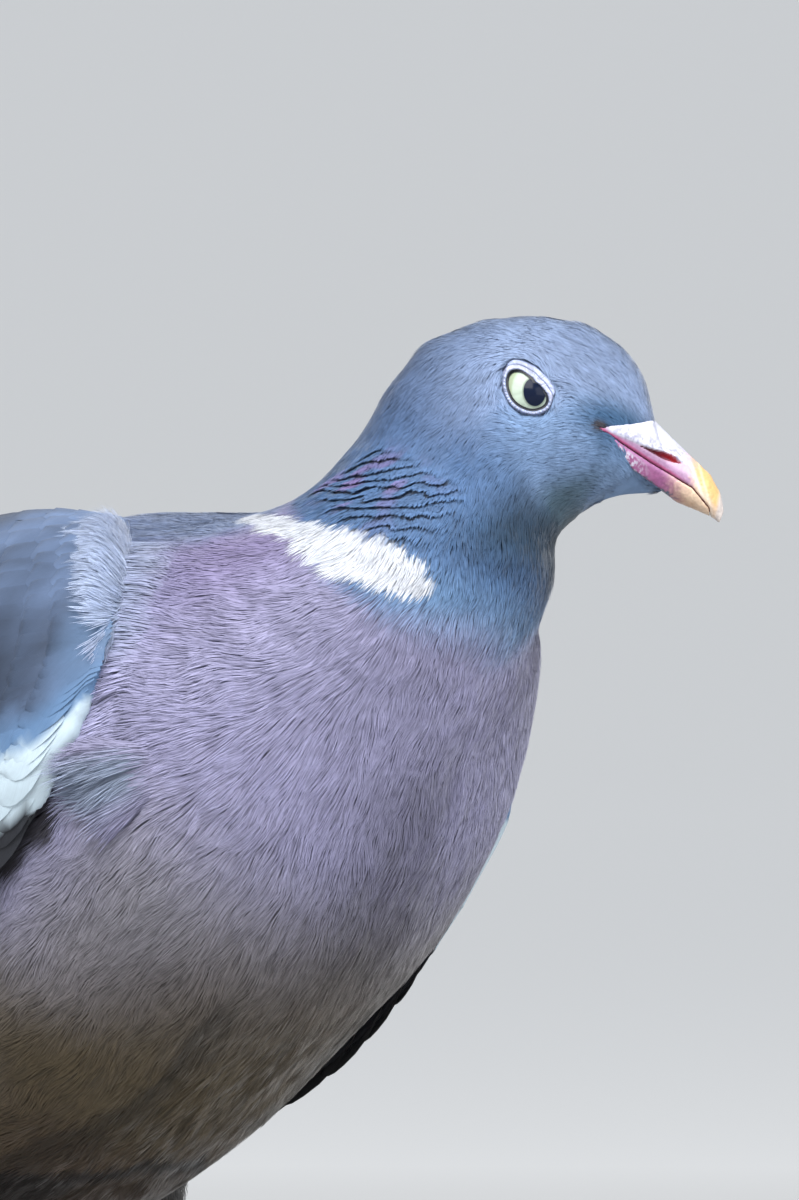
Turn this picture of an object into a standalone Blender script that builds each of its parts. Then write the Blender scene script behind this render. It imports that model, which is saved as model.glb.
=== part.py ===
"""A common wood pigeon, life size, standing on the floor with its head turned to its left.

The body, from the tail root to the tip of the bill, is one loft through ribs: cross-sections that each
run from a point on the back to a point on the breast or belly. Thin cuts part it into trunk, neck, head
and bill. The wings are shells that follow the same ribs a little way out. Sizes are in millimetres, in a
working frame with +X the way the breast faces, +Y to the bird's left and +Z up from the floor. The
finished bird is scaled to metres and centred over the origin.
"""

import math
from collections import namedtuple

import bmesh
import bpy
import numpy as np
from mathutils import Matrix, Vector

MM = 0.001
GAP = 0.3  # between touching pieces
WELD = 0.0001

# ---- driving dimensions -------------------------------------------------------------------------

Rib = namedtuple("Rib", "name back belly half_width level")

# back and belly are (x, z) in the bird's own side view, and level says how far from the back to the
# belly the section is widest. The first two lie round the tail and only guide the wing tips.
RIBS = (
    Rib("tail end", (-243, 72), (-239, 58), 22.0, 0.50),
    Rib("tail middle", (-184, 94), (-178, 75), 22.0, 0.50),
    Rib("tail root", (-127, 121), (-113, 89), 20.0, 0.50),
    Rib("vent", (-104, 137), (-82, 71), 29.0, 0.50),
    Rib("rump", (-78, 156), (-51, 59.5), 39.0, 0.50),
    Rib("loin", (-51, 173.5), (-25, 59), 47.0, 0.50),
    Rib("flank", (-26, 184.5), (1, 71), 50.5, 0.50),
    Rib("keel", (-5, 188), (22.5, 88), 51.5, 0.52),
    Rib("breast", (11, 188.3), (42, 105.5), 50.0, 0.53),
    Rib("crop", (23, 188.3), (57, 127), 45.5, 0.53),
    Rib("neck base", (32.5, 189.3), (69, 149.5), 37.0, 0.52),
    Rib("low neck", (39.8, 191.8), (78.5, 165.5), 27.0, 0.50),
    Rib("mid neck", (44.7, 196.4), (83, 177.5), 21.5, 0.50),
    Rib("throat", (49, 202), (83, 183.5), 18.5, 0.50),
    Rib("nape", (53.3, 209.8), (84, 185.2), 16.9, 0.50),
    Rib("hind crown", (60.3, 218.4), (86, 187), 15.3, 0.52),
    Rib("crown", (70.5, 222.2), (89, 188.7), 14.3, 0.54),
    Rib("brow", (80, 222.9), (93.5, 189.7), 12.6, 0.52),
    Rib("forehead", (89, 221.4), (97.5, 190), 9.8, 0.55),
    Rib("lore", (95.5, 217), (101, 190.2), 7.6, 0.60),
    Rib("face", (98.7, 212), (102.5, 190.3), 6.4, 0.60),
    Rib("bill base", (100.2, 204.8), (104.3, 190.2), 5.3, 0.58),
    Rib("cere", (103.2, 201.7), (105.9, 189.6), 4.7, 0.58),
    Rib("bill middle", (107.2, 197.9), (107.8, 188.8), 3.9, 0.55),
    Rib("bill hook", (110.4, 194.8), (109.6, 188.0), 2.9, 0.52),
    Rib("bill end", (112.2, 191.4), (111, 187.3), 1.9, 0.5),
    Rib("bill tip", (112.7, 188.6), (112, 186.4), 0.7, 0.5),
)
ROOT_RIB = 2  # the tail root, where the flesh begins
BODY_SIDES = 28
MOST_RING_STEP = 8.5  # between the rings of the body loft

# The head turns about an upright axis through the neck. The turn builds up along the neck's own line.
HEAD_TURN = math.radians(42)
NECK_AXIS_X = 55.0
NECK_FOOT = Vector((50.0, 0.0, 168.0))
NECK_LINE = Vector((0.6, 0.0, 0.8))
TURN_STARTS, TURN_ENDS = 4.0, 34.0

# Places in the side view of the head, before it turns.
GAPE = (89.5, 203.1)
FOREHEAD_EDGE = (GAPE, (95.6, 203.5), (100.0, 204.4), (103.5, 206.0))
CHIN_EDGE = (GAPE, (92.9, 200.8), (96.3, 195.8), (100.6, 192.9), (106.5, 188.4))
TOMIUM = ((86.0, 204.6), (92.3, 202.1), (99.8, 197.2), (107.3, 192.7), (110.3, 189.2), (111.2, 184.0))
BILL_AHEAD, BILL_ABOVE, BILL_BELOW = 125.0, 225.0, 175.0
CUTTER_REACH = 40.0
# moves along the axes that leave about the gap across these slanting edges
EDGE_SHIFT, MOUTH_SHIFT = 1.2 * GAP, 0.8 * GAP
EYE_PLACE = (78.0, 7.9, 208.4)
EYE_RADIUS = 6.5
EYE_LOOK = math.radians(17)  # how far forward of square the eye looks

# Wings. Each value is set at five stations from the wrist to the tip of the longest primary.
WING_STATIONS = (0.0, 0.25, 0.5, 0.75, 1.0)
WING_FRONT_RIB, WING_TIP_RIB = 8.75, 0.92
WING_FRONT_BOW = 1.25  # ribs by which the ends of the front edge fall behind its middle
WING_TOP_DEG = (20, 10, 5.5, 7, 34)
WING_LOW_DEG = (94, 104, 104, 86, 66)
WING_THICK = (4.2, 6.4, 5.0, 2.6, 0.9)
WING_LIFT = (0.3, 3.0, 3.0, 1.2, 0.4)  # how far the lower edge stands off the flank
WING_CLEAR = 0.7
WING_RIM = 1.2
WING_BOW_POWER, WING_ROUND_POWER, WING_ROUND_SHIFT = 2.2, 0.5, 0.8
WING_HANG_FROM = 0.17
TIP_STEP = 0.6  # how much thinner the primaries start than the wing ends
WING_SPLIT = 0.64  # where the wing's own feathers end and the long primaries show alone
# The left wing hangs lower and further out than the right: degrees round the body, and millimetres.
WING_DROOP_DEG = {"right": 0.0, "left": 22.0}
WING_HANG = {"right": 0.0, "left": 8.0}

# Tail: back, belly and half width at each station, and how far its edges droop.
TAIL_RIBS = (
    Rib("root", (-127.9, 119.8), (-114.5, 89.2), 19.0, 0.5),
    Rib("coverts", (-148, 105.5), (-141, 84.5), 20.0, 0.45),
    Rib("middle", (-182, 87.5), (-179, 76.5), 22.5, 0.4),
    Rib("end", (-226, 68.0), (-225, 63.4), 26.5, 0.5),
    Rib("shoulder", (-240, 62.2), (-239.2, 59.2), 26.5, 0.5),
    Rib("tip", (-246.5, 59.6), (-246, 57.2), 21.0, 0.5),
)
TAIL_DROOP = 3.5
TAIL_SIDES = 18

# Legs: the feathered thigh, the bare shank, the foot and its claws.
FLOOR = 6.0  # the height of the floor in the working frame
HIP = (-34.0, 18.0, 88.0)
KNEE = (-38.0, 22.0, 64.0)
HOCK = (-45.5, 22.5, 42.0)
THIGH_RADII = (16.5, 15.5, 5.8)
SHANK_END_RADIUS, SHANK_RADIUS = 3.1, 2.6
# bevel resolutions: each step up adds two sides to the round of a limb
THIGH_ROUND, SHANK_ROUND, TOE_ROUND = 5, 3, 2
FOOT_CENTRE = (-27.0, 22.5, FLOOR + 4.0)
FOOT_PAD = (5.6, 5.2, 4.3)
FLAT_DEPTH = 0.35  # how much of each toe the floor flattens
TOE_ARCH = 1.6
Toe = namedtuple("Toe", "name heading length root_radius tip_radius")
TOES = (
    Toe("hind", 172, 15.0, 2.3, 1.7),
    Toe("inner", -34, 21.0, 2.3, 1.8),
    Toe("middle", 2, 29.0, 2.5, 1.9),
    Toe("outer", 36, 22.0, 2.3, 1.8),
)
CLAW_LENGTH, CLAW_RADIUS, CLAW_TIP = 8.0, 1.45, 0.35
CLAW_CURVE = math.radians(38)
CLAW_STEPS, CLAW_RISE, CLAW_CLEAR = 5, 0.2, 0.05

SIDES = {"right": -1, "left": 1}

# ---- materials ----------------------------------------------------------------------------------

COLOURS = {
    "head": ((0.19, 0.25, 0.36), 0.75),
    "neck": ((0.20, 0.27, 0.38), 0.70),
    "trunk": ((0.38, 0.32, 0.38), 0.80),
    "wing": ((0.24, 0.27, 0.34), 0.70),
    "primaries": ((0.045, 0.05, 0.06), 0.60),
    "tail": ((0.12, 0.13, 0.16), 0.65),
    "thigh": ((0.40, 0.38, 0.42), 0.80),
    "leg": ((0.50, 0.16, 0.17), 0.50),
    "claw": ((0.06, 0.045, 0.04), 0.35),
    "bill_upper": ((0.80, 0.52, 0.42), 0.40),
    "bill_lower": ((0.72, 0.36, 0.40), 0.40),
    "eye": ((0.66, 0.68, 0.42), 0.08),
}


def make_materials():
    """One Principled material for each kind of surface."""
    made = {}
    for name, (colour, roughness) in COLOURS.items():
        material = bpy.data.materials.new(name)
        material.use_nodes = True
        shader = material.node_tree.nodes["Principled BSDF"]
        shader.inputs["Base Color"].default_value = (*colour, 1.0)
        shader.inputs["Roughness"].default_value = roughness
        shader.inputs["Metallic"].default_value = 0.0
        made[name] = material
    return made


# ---- curves through stations --------------------------------------------------------------------


def through(values, places, at):
    """Values at the places, joined by a smooth cubic, read at one or more other places."""
    values = np.asarray(values, float)
    places = np.asarray(places, float)
    at = np.atleast_1d(np.asarray(at, float))
    steps = np.diff(places)
    slopes = np.diff(values, axis=0) / steps.reshape((-1,) + (1,) * (values.ndim - 1))
    before, after = np.concatenate([slopes[:1], slopes]), np.concatenate([slopes, slopes[-1:]])
    share = np.append(steps[:1], steps) / (np.append(steps[:1], steps) + np.append(steps, steps[-1:]))
    share = share.reshape((-1,) + (1,) * (values.ndim - 1))
    tangents = before * (1 - share) + after * share
    cell = np.clip(np.searchsorted(places, at, side="right") - 1, 0, len(steps) - 1)
    width = steps[cell]
    t = (at - places[cell]) / width
    shape = (-1,) + (1,) * (values.ndim - 1)
    t, width = t.reshape(shape), width.reshape(shape)
    return (
        values[cell] * (1 + 2 * t) * (1 - t) ** 2
        + tangents[cell] * width * t * (1 - t) ** 2
        + values[cell + 1] * t**2 * (3 - 2 * t)
        - tangents[cell + 1] * width * t**2 * (1 - t)
    )


def rib_table(ribs):
    """Each rib as a row of numbers: back x, z, belly x, z, half width, level."""
    return np.array([(*rib.back, *rib.belly, rib.half_width, rib.level) for rib in ribs])


def rib_places(ribs):
    """How far along the loft each rib's middle lies."""
    table = rib_table(ribs)
    middles = (table[:, 0:2] + table[:, 2:4]) / 2
    return np.append(0.0, np.cumsum(np.linalg.norm(np.diff(middles, axis=0), axis=1)))


BODY_TABLE, BODY_PLACES = rib_table(RIBS), rib_places(RIBS)


def place_of_rib(number):
    """The place along the body of a rib, which may be a fraction between two."""
    return np.interp(number, np.arange(len(RIBS)), BODY_PLACES)


def section_points(row, angles, offset=0.0):
    """Points of one cross-section, at angles round from the back by the left side, moved out by offset."""
    back, belly = row[0:2], row[2:4]
    down = (belly - back) / np.linalg.norm(belly - back)
    centre = back + (belly - back) * row[5]
    above = np.linalg.norm(centre - back) + offset
    below = np.linalg.norm(belly - centre) + offset
    depth = np.where(np.cos(angles) > 0, above, below) * -np.cos(angles)
    across = (row[4] + offset) * np.sin(angles)
    return np.column_stack([centre[0] + down[0] * depth, across, centre[1] + down[1] * depth])


def ring_places(places, first, last, most_step):
    """Places for the rings of a loft, with one on each rib and the rest evenly between."""
    found = []
    for start, end in zip(places[first:last], places[first + 1 : last + 1]):
        count = max(1, math.ceil((end - start) / most_step))
        found.extend(start + (end - start) * i / count for i in range(count))
    return [*found, places[last]]


# ---- solids -------------------------------------------------------------------------------------


def new_object(name, mesh, material, collection):
    """An object of that mesh, with its material, in the collection."""
    mesh.name = name
    mesh.materials.clear()
    if material is not None:
        mesh.materials.append(material)
    mesh.shade_smooth()
    mesh.set_sharp_from_angle(angle=math.radians(40))
    made = bpy.data.objects.new(name, mesh)
    collection.objects.link(made)
    return made


def solid_from(name, rows_of_points, faces_of, material, collection):
    """A closed mesh from a grid of points. faces_of lists faces from the rows of vertices."""
    shape = bmesh.new()
    rows = [[shape.verts.new(Vector(point)) for point in row] for row in rows_of_points]
    for face in faces_of(rows):
        shape.faces.new(face)
    bmesh.ops.recalc_face_normals(shape, faces=shape.faces)
    mesh = bpy.data.meshes.new(name)
    shape.to_mesh(mesh)
    shape.free()
    return new_object(name, mesh, material, collection)


def ring_faces(rows):
    """Faces between closed rings, with a cap on each end."""
    for row, following in zip(rows, rows[1:]):
        for i, vertex in enumerate(row):
            j = (i + 1) % len(row)
            yield (vertex, row[j], following[j], following[i])
    yield tuple(rows[0])
    yield tuple(reversed(rows[-1]))


def shell_faces(rows):
    """Faces of a shell whose rows each run over the outer side and back along the inner one."""
    count = len(rows[0]) // 2
    for row, following in zip(rows, rows[1:]):
        for i, vertex in enumerate(row):
            j = (i + 1) % len(row)
            yield (vertex, row[j], following[j], following[i])
    for row in (rows[0], rows[-1]):
        for i in range(count - 1):
            yield (row[i], row[i + 1], row[-2 - i], row[-1 - i])


def limb(name, path, radii, roundness, material, collection):
    """A round tapering limb: a bevelled curve with a radius at each point, made a closed mesh."""
    curve = bpy.data.curves.new(name, "CURVE")
    curve.dimensions = "3D"
    curve.bevel_depth = 1.0
    curve.bevel_resolution = roundness
    curve.use_fill_caps = True
    spline = curve.splines.new("POLY")
    spline.points.add(len(path) - 1)
    for knot, place, radius in zip(spline.points, path, radii):
        knot.co = (*place, 1.0)
        knot.radius = radius
    drawn = bpy.data.objects.new(name, curve)
    collection.objects.link(drawn)
    mesh = bpy.data.meshes.new_from_object(drawn.evaluated_get(bpy.context.evaluated_depsgraph_get()))
    bpy.data.objects.remove(drawn)
    shape = bmesh.new()
    shape.from_mesh(mesh)
    bmesh.ops.remove_doubles(shape, verts=shape.verts, dist=WELD)
    bmesh.ops.recalc_face_normals(shape, faces=shape.faces)
    shape.to_mesh(mesh)
    shape.free()
    return new_object(name, mesh, material, collection)


def boolean(target, tool, operation="DIFFERENCE"):
    """Cuts, joins or trims target with tool, and keeps the result as its mesh."""
    modifier = target.modifiers.new(operation, "BOOLEAN")
    modifier.operation = operation
    modifier.solver = "EXACT"
    modifier.object = tool
    graph = bpy.context.evaluated_depsgraph_get()
    mesh = bpy.data.meshes.new_from_object(target.evaluated_get(graph))
    target.modifiers.clear()
    target.data = mesh


def prism(name, outline, half_width, collection):
    """A cutter: an outline in the side view, as wide as the body."""
    rows = [[(x, side * half_width, z) for x, z in outline] for side in (-1, 1)]
    made = solid_from(name, rows, ring_faces, None, collection)
    hide_cutter(made)
    return made


def hide_cutter(cutter):
    cutter.hide_render = True
    cutter.display_type = "WIRE"


def islands(mesh):
    """The separate bodies of a mesh, each as a set of vertex numbers."""
    shape = bmesh.new()
    shape.from_mesh(mesh)
    unseen, found = set(shape.verts), []
    while unseen:
        stack, island = [unseen.pop()], set()
        while stack:
            vertex = stack.pop()
            island.add(vertex.index)
            near = {edge.other_vert(vertex) for edge in vertex.link_edges} & unseen
            unseen -= near
            stack.extend(near)
        found.append(island)
    shape.free()
    return found


def take_island(mesh, island, name):
    """A copy of the mesh with only that body."""
    shape = bmesh.new()
    shape.from_mesh(mesh)
    others = [vertex for vertex in shape.verts if vertex.index not in island]
    bmesh.ops.delete(shape, geom=others, context="VERTS")
    made = bpy.data.meshes.new(name)
    shape.to_mesh(made)
    shape.free()
    return made


def part_by(whole, cuts, names, materials, collection):
    """Cuts the whole with the cutters. names gives a point inside each piece, which takes that name."""
    for cut in cuts:
        boolean(whole, cut)
    mesh = whole.data
    bodies = islands(mesh)
    pieces = {}
    for name, inside in names.items():
        target = Vector(inside)
        nearest = min(bodies, key=lambda body: min((mesh.vertices[i].co - target).length for i in body))
        pieces[name] = new_object(name, take_island(mesh, nearest, name), materials[name], collection)
    bpy.data.objects.remove(whole)
    return pieces


def moved(outline, along, up):
    return [(x + along, z + up) for x, z in outline]


# ---- body ---------------------------------------------------------------------------------------


def body_loft(name, offset, material, collection):
    """The whole body from the tail root to the tip of the bill, moved out by offset."""
    angles = np.arange(BODY_SIDES) * math.tau / BODY_SIDES
    places = ring_places(BODY_PLACES, ROOT_RIB, len(RIBS) - 1, MOST_RING_STEP)
    rows = [section_points(row, angles, offset) for row in through(BODY_TABLE, BODY_PLACES, places)]
    return solid_from(name, rows, ring_faces, material, collection)


def neck_cut(name, along, collection):
    """A thin flat cut square to the neck's line."""
    bpy.ops.mesh.primitive_cube_add(size=1.0)
    cutter = bpy.context.object
    cutter.name = name
    cutter.data.transform(Matrix.Diagonal((4 * CUTTER_REACH, 4 * CUTTER_REACH, GAP, 1.0)))
    turn = NECK_LINE.to_track_quat("Z", "Y").to_matrix().to_4x4()
    cutter.data.transform(Matrix.Translation(NECK_FOOT + NECK_LINE * along) @ turn)
    for holder in list(cutter.users_collection):
        holder.objects.unlink(cutter)
    collection.objects.link(cutter)
    hide_cutter(cutter)
    return cutter


def eye_ball(name, side, radius, material, collection):
    """A ball with its pole facing outwards."""
    shape = bmesh.new()
    bmesh.ops.create_uvsphere(shape, u_segments=16, v_segments=10, radius=radius)
    mesh = bpy.data.meshes.new(name)
    shape.to_mesh(mesh)
    shape.free()
    x, y, z = EYE_PLACE
    look = Matrix.Rotation(-side * EYE_LOOK, 4, "Z") @ Matrix.Rotation(-side * math.pi / 2, 4, "X")
    mesh.transform(Matrix.Translation((x, side * y, z)) @ look)
    return new_object(name, mesh, material, collection)


def build_bill(head, materials, collection, cutters):
    """Parts the bill from the head along the feathers' edge, and in two along the line of the mouth."""
    ahead = [(BILL_AHEAD, BILL_BELOW), (BILL_AHEAD, BILL_ABOVE)]
    edge = [*FOREHEAD_EDGE[:0:-1], *CHIN_EDGE]
    around = prism("cut_bill", edge + ahead, CUTTER_REACH, cutters)
    inner = prism("cut_bill_inner", moved(edge, EDGE_SHIFT, 0.0) + ahead, CUTTER_REACH, cutters)
    above = list(TOMIUM) + ahead
    below = moved(TOMIUM, -MOUTH_SHIFT, -MOUTH_SHIFT) + [(TOMIUM[0][0] - 1.0, BILL_BELOW)]
    for name, outline in (("bill_upper", above), ("bill_lower", below)):
        bill = new_object(name, head.data.copy(), materials[name], collection)
        boolean(bill, inner, "INTERSECT")
        boolean(bill, prism("cut_" + name, outline, CUTTER_REACH + 1.0, cutters), "INTERSECT")
    boolean(head, around)


def build_body(materials, collection, cutters):
    """Trunk, neck, head, bill and eyes."""
    whole = body_loft("body", 0.0, None, collection)
    cuts = [
        neck_cut("cut_neck_base", TURN_STARTS, cutters),
        neck_cut("cut_head", TURN_ENDS, cutters),
    ]
    middle_of_neck = NECK_FOOT + NECK_LINE * (TURN_STARTS + TURN_ENDS) / 2
    inside = {
        "trunk": (-25, 0, 180.5),
        "neck": (middle_of_neck.x, 23.0, middle_of_neck.z),
        "head": (80, 0, 222.9),
    }
    head = part_by(whole, cuts, inside, materials, collection)["head"]
    for side_name, side in SIDES.items():
        socket = eye_ball("cut_eye_" + side_name, side, EYE_RADIUS + GAP, None, cutters)
        hide_cutter(socket)
        boolean(head, socket)
        eye_ball("eye_" + side_name, side, EYE_RADIUS, materials["eye"], collection)
    build_bill(head, materials, collection, cutters)


def turn_head(piece):
    """Turns what lies beyond the foot of the neck about the neck's upright axis."""
    axis = Vector((NECK_AXIS_X, 0.0, 0.0))
    for vertex in piece.data.vertices:
        reach = (vertex.co - NECK_FOOT).dot(NECK_LINE)
        share = min(1.0, max(0.0, (reach - TURN_STARTS) / (TURN_ENDS - TURN_STARTS)))
        turn = Matrix.Rotation(HEAD_TURN * share * share * (3 - 2 * share), 3, "Z")
        vertex.co = axis + turn @ (vertex.co - axis)


# ---- wings and tail -----------------------------------------------------------------------------


def wing_value(values, along):
    """A wing dimension at one place from the wrist, 0, to the tip, 1."""
    return float(through(values, WING_STATIONS, along)[0])


def wing_row(side_name, along, across_count, thinner=0.0):
    """One row of a wing's shell: the outer side from top to bottom, then the inner side back."""
    side, droop = SIDES[side_name], WING_DROOP_DEG[side_name]
    outer, inner = [], []
    for across in np.linspace(0, 1, across_count):
        front = WING_FRONT_RIB - WING_FRONT_BOW * abs(2 * across - 1) ** WING_BOW_POWER
        number = front + (WING_TIP_RIB - front) * along
        row = through(BODY_TABLE, BODY_PLACES, place_of_rib(number))[0]
        top = wing_value(WING_TOP_DEG, along) + droop * 0.25 * (1 - along)
        low = wing_value(WING_LOW_DEG, along) + droop * (1 - 0.6 * along)
        angle = np.array([side * math.radians(top + (low - top) * across)])
        hang = WING_HANG[side_name] * math.sin(math.pi * min(1, along + WING_HANG_FROM))
        under = WING_CLEAR + (wing_value(WING_LIFT, along) + hang) * across**2
        swell = math.sin(math.pi * across**WING_ROUND_SHIFT) ** WING_ROUND_POWER
        thick = WING_RIM + wing_value(WING_THICK, along) * swell - thinner
        inner.append(section_points(row, angle, under)[0])
        outer.append(section_points(row, angle, under + thick)[0])
    return outer + inner[::-1]


def build_wing(side_name, materials, collection):
    """The folded wing, and the long primaries that reach past it over the tail."""
    wing = [wing_row(side_name, along, 9) for along in np.linspace(0, WING_SPLIT, 17)]
    solid_from("wing_" + side_name, wing, shell_faces, materials["wing"], collection)
    start = WING_SPLIT + 0.003
    tips = [wing_row(side_name, along, 7, TIP_STEP * (1 - along)) for along in np.linspace(start, 1, 10)]
    solid_from("primaries_" + side_name, tips, shell_faces, materials["primaries"], collection)


def build_tail(materials, collection):
    """The closed tail: a thick root under its coverts, thinning to a flat, slightly arched blade."""
    angles = np.arange(TAIL_SIDES) * math.tau / TAIL_SIDES
    table, places = rib_table(TAIL_RIBS), rib_places(TAIL_RIBS)
    rows = []
    for row in through(table, places, ring_places(places, 0, len(TAIL_RIBS) - 1, 12.0)):
        points = section_points(row, angles)
        flatness = 1 - np.linalg.norm(row[0:2] - row[2:4]) / np.linalg.norm(table[0, 0:2] - table[0, 2:4])
        points[:, 2] -= TAIL_DROOP * flatness * np.sin(angles) ** 2
        rows.append(points)
    solid_from("tail", rows, ring_faces, materials["tail"], collection)


# ---- legs ---------------------------------------------------------------------------------------


def on_side(point, side):
    return Vector((point[0], side * point[1], point[2]))


def build_thigh(side_name, materials, collection, cutters):
    """The feathered thigh, which grows out of the belly and ends just above the hock."""
    side = SIDES[side_name]
    joints = [on_side(point, side) for point in (HIP, KNEE, HOCK)]
    ups = np.linspace(0, 2, 8)
    path = [Vector(point) for point in through(joints, (0, 1, 2), ups)]
    radii = [float(radius) for radius in through(THIGH_RADII, (0, 1, 2), ups)]
    name = "thigh_" + side_name
    thigh = limb(name, path, radii, THIGH_ROUND, materials["thigh"], collection)
    body = body_loft("cut_body_" + side_name, GAP, None, cutters)
    hide_cutter(body)
    boolean(thigh, body)
    largest = max(islands(thigh.data), key=len)
    thigh.data = take_island(thigh.data, largest, name)


def toe_path(side, toe):
    """Points along a toe, from the foot's middle to the tip, a little arched."""
    heading = math.radians(toe.heading) * side
    ahead = Vector((math.cos(heading), math.sin(heading), 0.0))
    centre = on_side(FOOT_CENTRE, side)
    radii = np.linspace(toe.root_radius, toe.tip_radius, 6)
    path = []
    for i, radius in enumerate(radii):
        share = i / (len(radii) - 1)
        point = centre + ahead * toe.length * share
        arch = TOE_ARCH * math.sin(math.pi * share) * (1 - share)
        point.z = FLOOR + radius - FLAT_DEPTH + arch
        path.append(point)
    return path, radii, ahead


def build_foot(side_name, materials, collection, cutters):
    """The foot with its four toes, flattened where it meets the floor, and a claw on each toe."""
    side = SIDES[side_name]
    shape = bmesh.new()
    bmesh.ops.create_uvsphere(shape, u_segments=12, v_segments=8, radius=1.0)
    mesh = bpy.data.meshes.new("foot")
    shape.to_mesh(mesh)
    shape.free()
    mesh.transform(Matrix.Translation(on_side(FOOT_CENTRE, side)) @ Matrix.Diagonal((*FOOT_PAD, 1.0)))
    foot = new_object("foot_" + side_name, mesh, materials["leg"], collection)
    for toe in TOES:
        path, radii, ahead = toe_path(side, toe)
        length = limb("toe", path, radii, TOE_ROUND, None, cutters)
        hide_cutter(length)
        boolean(foot, length, "UNION")
        build_claw(f"claw_{side_name}_{toe.name}", path[-1], ahead, materials["claw"], collection)
    under = [(-90, FLOOR - 12), (60, FLOOR - 12), (60, FLOOR), (-90, FLOOR)]
    floor = prism("cut_floor", under, 2 * CUTTER_REACH, cutters)
    boolean(foot, floor)


def build_claw(name, toe_end, ahead, material, collection):
    """A tapering claw that curves down from the end of its toe to just above the floor."""
    point = toe_end + ahead * GAP + Vector((0, 0, CLAW_RISE))
    path, dip = [point], 0.0
    for _ in range(CLAW_STEPS):
        dip += CLAW_CURVE / CLAW_STEPS
        point = point + (ahead * math.cos(dip) - Vector((0, 0, math.sin(dip)))) * CLAW_LENGTH / CLAW_STEPS
        path.append(point)
    radii = np.linspace(CLAW_RADIUS, CLAW_TIP, CLAW_STEPS + 1)
    lowest = min(point.z - radius for point, radius in zip(path, radii))
    lift = Vector((0, 0, max(0.0, FLOOR + CLAW_CLEAR - lowest)))
    limb(name, [point + lift for point in path], radii, TOE_ROUND, material, collection)


def build_shank(side_name, materials, collection, cutters):
    """The bare shank between the thigh's feathers and the foot."""
    side = SIDES[side_name]
    hock, foot = on_side(HOCK, side), on_side(FOOT_CENTRE, side)
    thigh_end = hock - Vector((0, 0, 0.6))
    ups = np.linspace(0, 1, 6)
    path = [thigh_end.lerp(foot, share) for share in ups]
    radii = [SHANK_RADIUS + (SHANK_END_RADIUS - SHANK_RADIUS) * (2 * share - 1) ** 2 for share in ups]
    shank = limb("shank_" + side_name, path, radii, SHANK_ROUND, materials["leg"], collection)
    for blocker in ("foot_", "thigh_"):
        mesh = bpy.data.objects[blocker + side_name].data.copy()
        grown = new_object("cut_" + blocker + side_name, mesh, None, cutters)
        hide_cutter(grown)
        for vertex in grown.data.vertices:
            vertex.co += vertex.normal * GAP
        boolean(shank, grown)
    largest = max(islands(shank.data), key=len)
    shank.data = take_island(shank.data, largest, shank.name)


# ---- the bird -----------------------------------------------------------------------------------


def clear_scene():
    for item in list(bpy.data.objects):
        bpy.data.objects.remove(item)


def new_collection(name):
    made = bpy.data.collections.new(name)
    bpy.context.scene.collection.children.link(made)
    return made


def place_over_origin(collection):
    """Scales the bird to metres, with the middle of its box over the origin and its feet on the floor.

    Each piece keeps its own origin in its middle, and all of them ride on one empty.
    """
    pieces = list(collection.objects)
    corners = np.array([vertex.co for piece in pieces for vertex in piece.data.vertices])
    low, high = corners.min(axis=0), corners.max(axis=0)
    ground = Vector(((low[0] + high[0]) / 2, (low[1] + high[1]) / 2, low[2]))
    bird = bpy.data.objects.new("wood_pigeon", None)
    collection.objects.link(bird)
    for piece in pieces:
        places = np.array([vertex.co for vertex in piece.data.vertices])
        middle = Vector((places.min(axis=0) + places.max(axis=0)) / 2)
        piece.data.transform(Matrix.Scale(MM, 4) @ Matrix.Translation(-middle))
        piece.location = (middle - ground) * MM
        piece.parent = bird


def main():
    clear_scene()
    bird, cutters = new_collection("wood_pigeon"), new_collection("cutters")
    materials = make_materials()
    build_body(materials, bird, cutters)
    build_tail(materials, bird)
    for side_name in SIDES:
        build_wing(side_name, materials, bird)
        build_thigh(side_name, materials, bird, cutters)
        build_foot(side_name, materials, bird, cutters)
        build_shank(side_name, materials, bird, cutters)
    for piece in bird.objects:
        turn_head(piece)
    place_over_origin(bird)


main()
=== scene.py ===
"""Looks of a life-size model of a standing wood pigeon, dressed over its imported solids.

Lengths are millimetres in the bird's own axes: +X the way the breast faces, +Y its left and
+Z up. They become metres in the frame only where a mesh is made.
"""

import math

import bmesh
import bpy
import numpy as np
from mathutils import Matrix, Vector
from mathutils.bvhtree import BVHTree


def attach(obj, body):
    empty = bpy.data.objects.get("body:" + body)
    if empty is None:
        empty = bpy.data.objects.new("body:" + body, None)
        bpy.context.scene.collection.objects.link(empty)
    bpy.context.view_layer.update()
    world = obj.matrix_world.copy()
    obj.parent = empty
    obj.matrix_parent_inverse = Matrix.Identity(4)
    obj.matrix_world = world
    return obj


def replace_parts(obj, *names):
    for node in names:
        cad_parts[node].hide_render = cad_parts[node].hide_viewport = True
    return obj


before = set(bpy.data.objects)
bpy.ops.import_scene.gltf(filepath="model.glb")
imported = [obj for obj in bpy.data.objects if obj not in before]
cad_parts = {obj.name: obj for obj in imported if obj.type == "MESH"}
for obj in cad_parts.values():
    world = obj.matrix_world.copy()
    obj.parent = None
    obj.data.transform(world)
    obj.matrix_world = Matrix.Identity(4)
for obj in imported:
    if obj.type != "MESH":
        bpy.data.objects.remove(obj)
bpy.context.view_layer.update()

MM = 0.001
SHIFT = np.array((74.05, -2.45, -6.0))  # from the bird's own axes to the frame
SEED = 5
HEAD_ONLY_X = 60.0  # with the head straight, only the head and neck lie beyond this x
AT_ONCE = 40000  # points looked up together, to spare memory
BAKE_PATCH = 0.0015  # half the size of a barb's or a feather's patch on the bake map
GRAIN = np.random.default_rng(11).uniform(-1, 1, (40, 40, 40))

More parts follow.
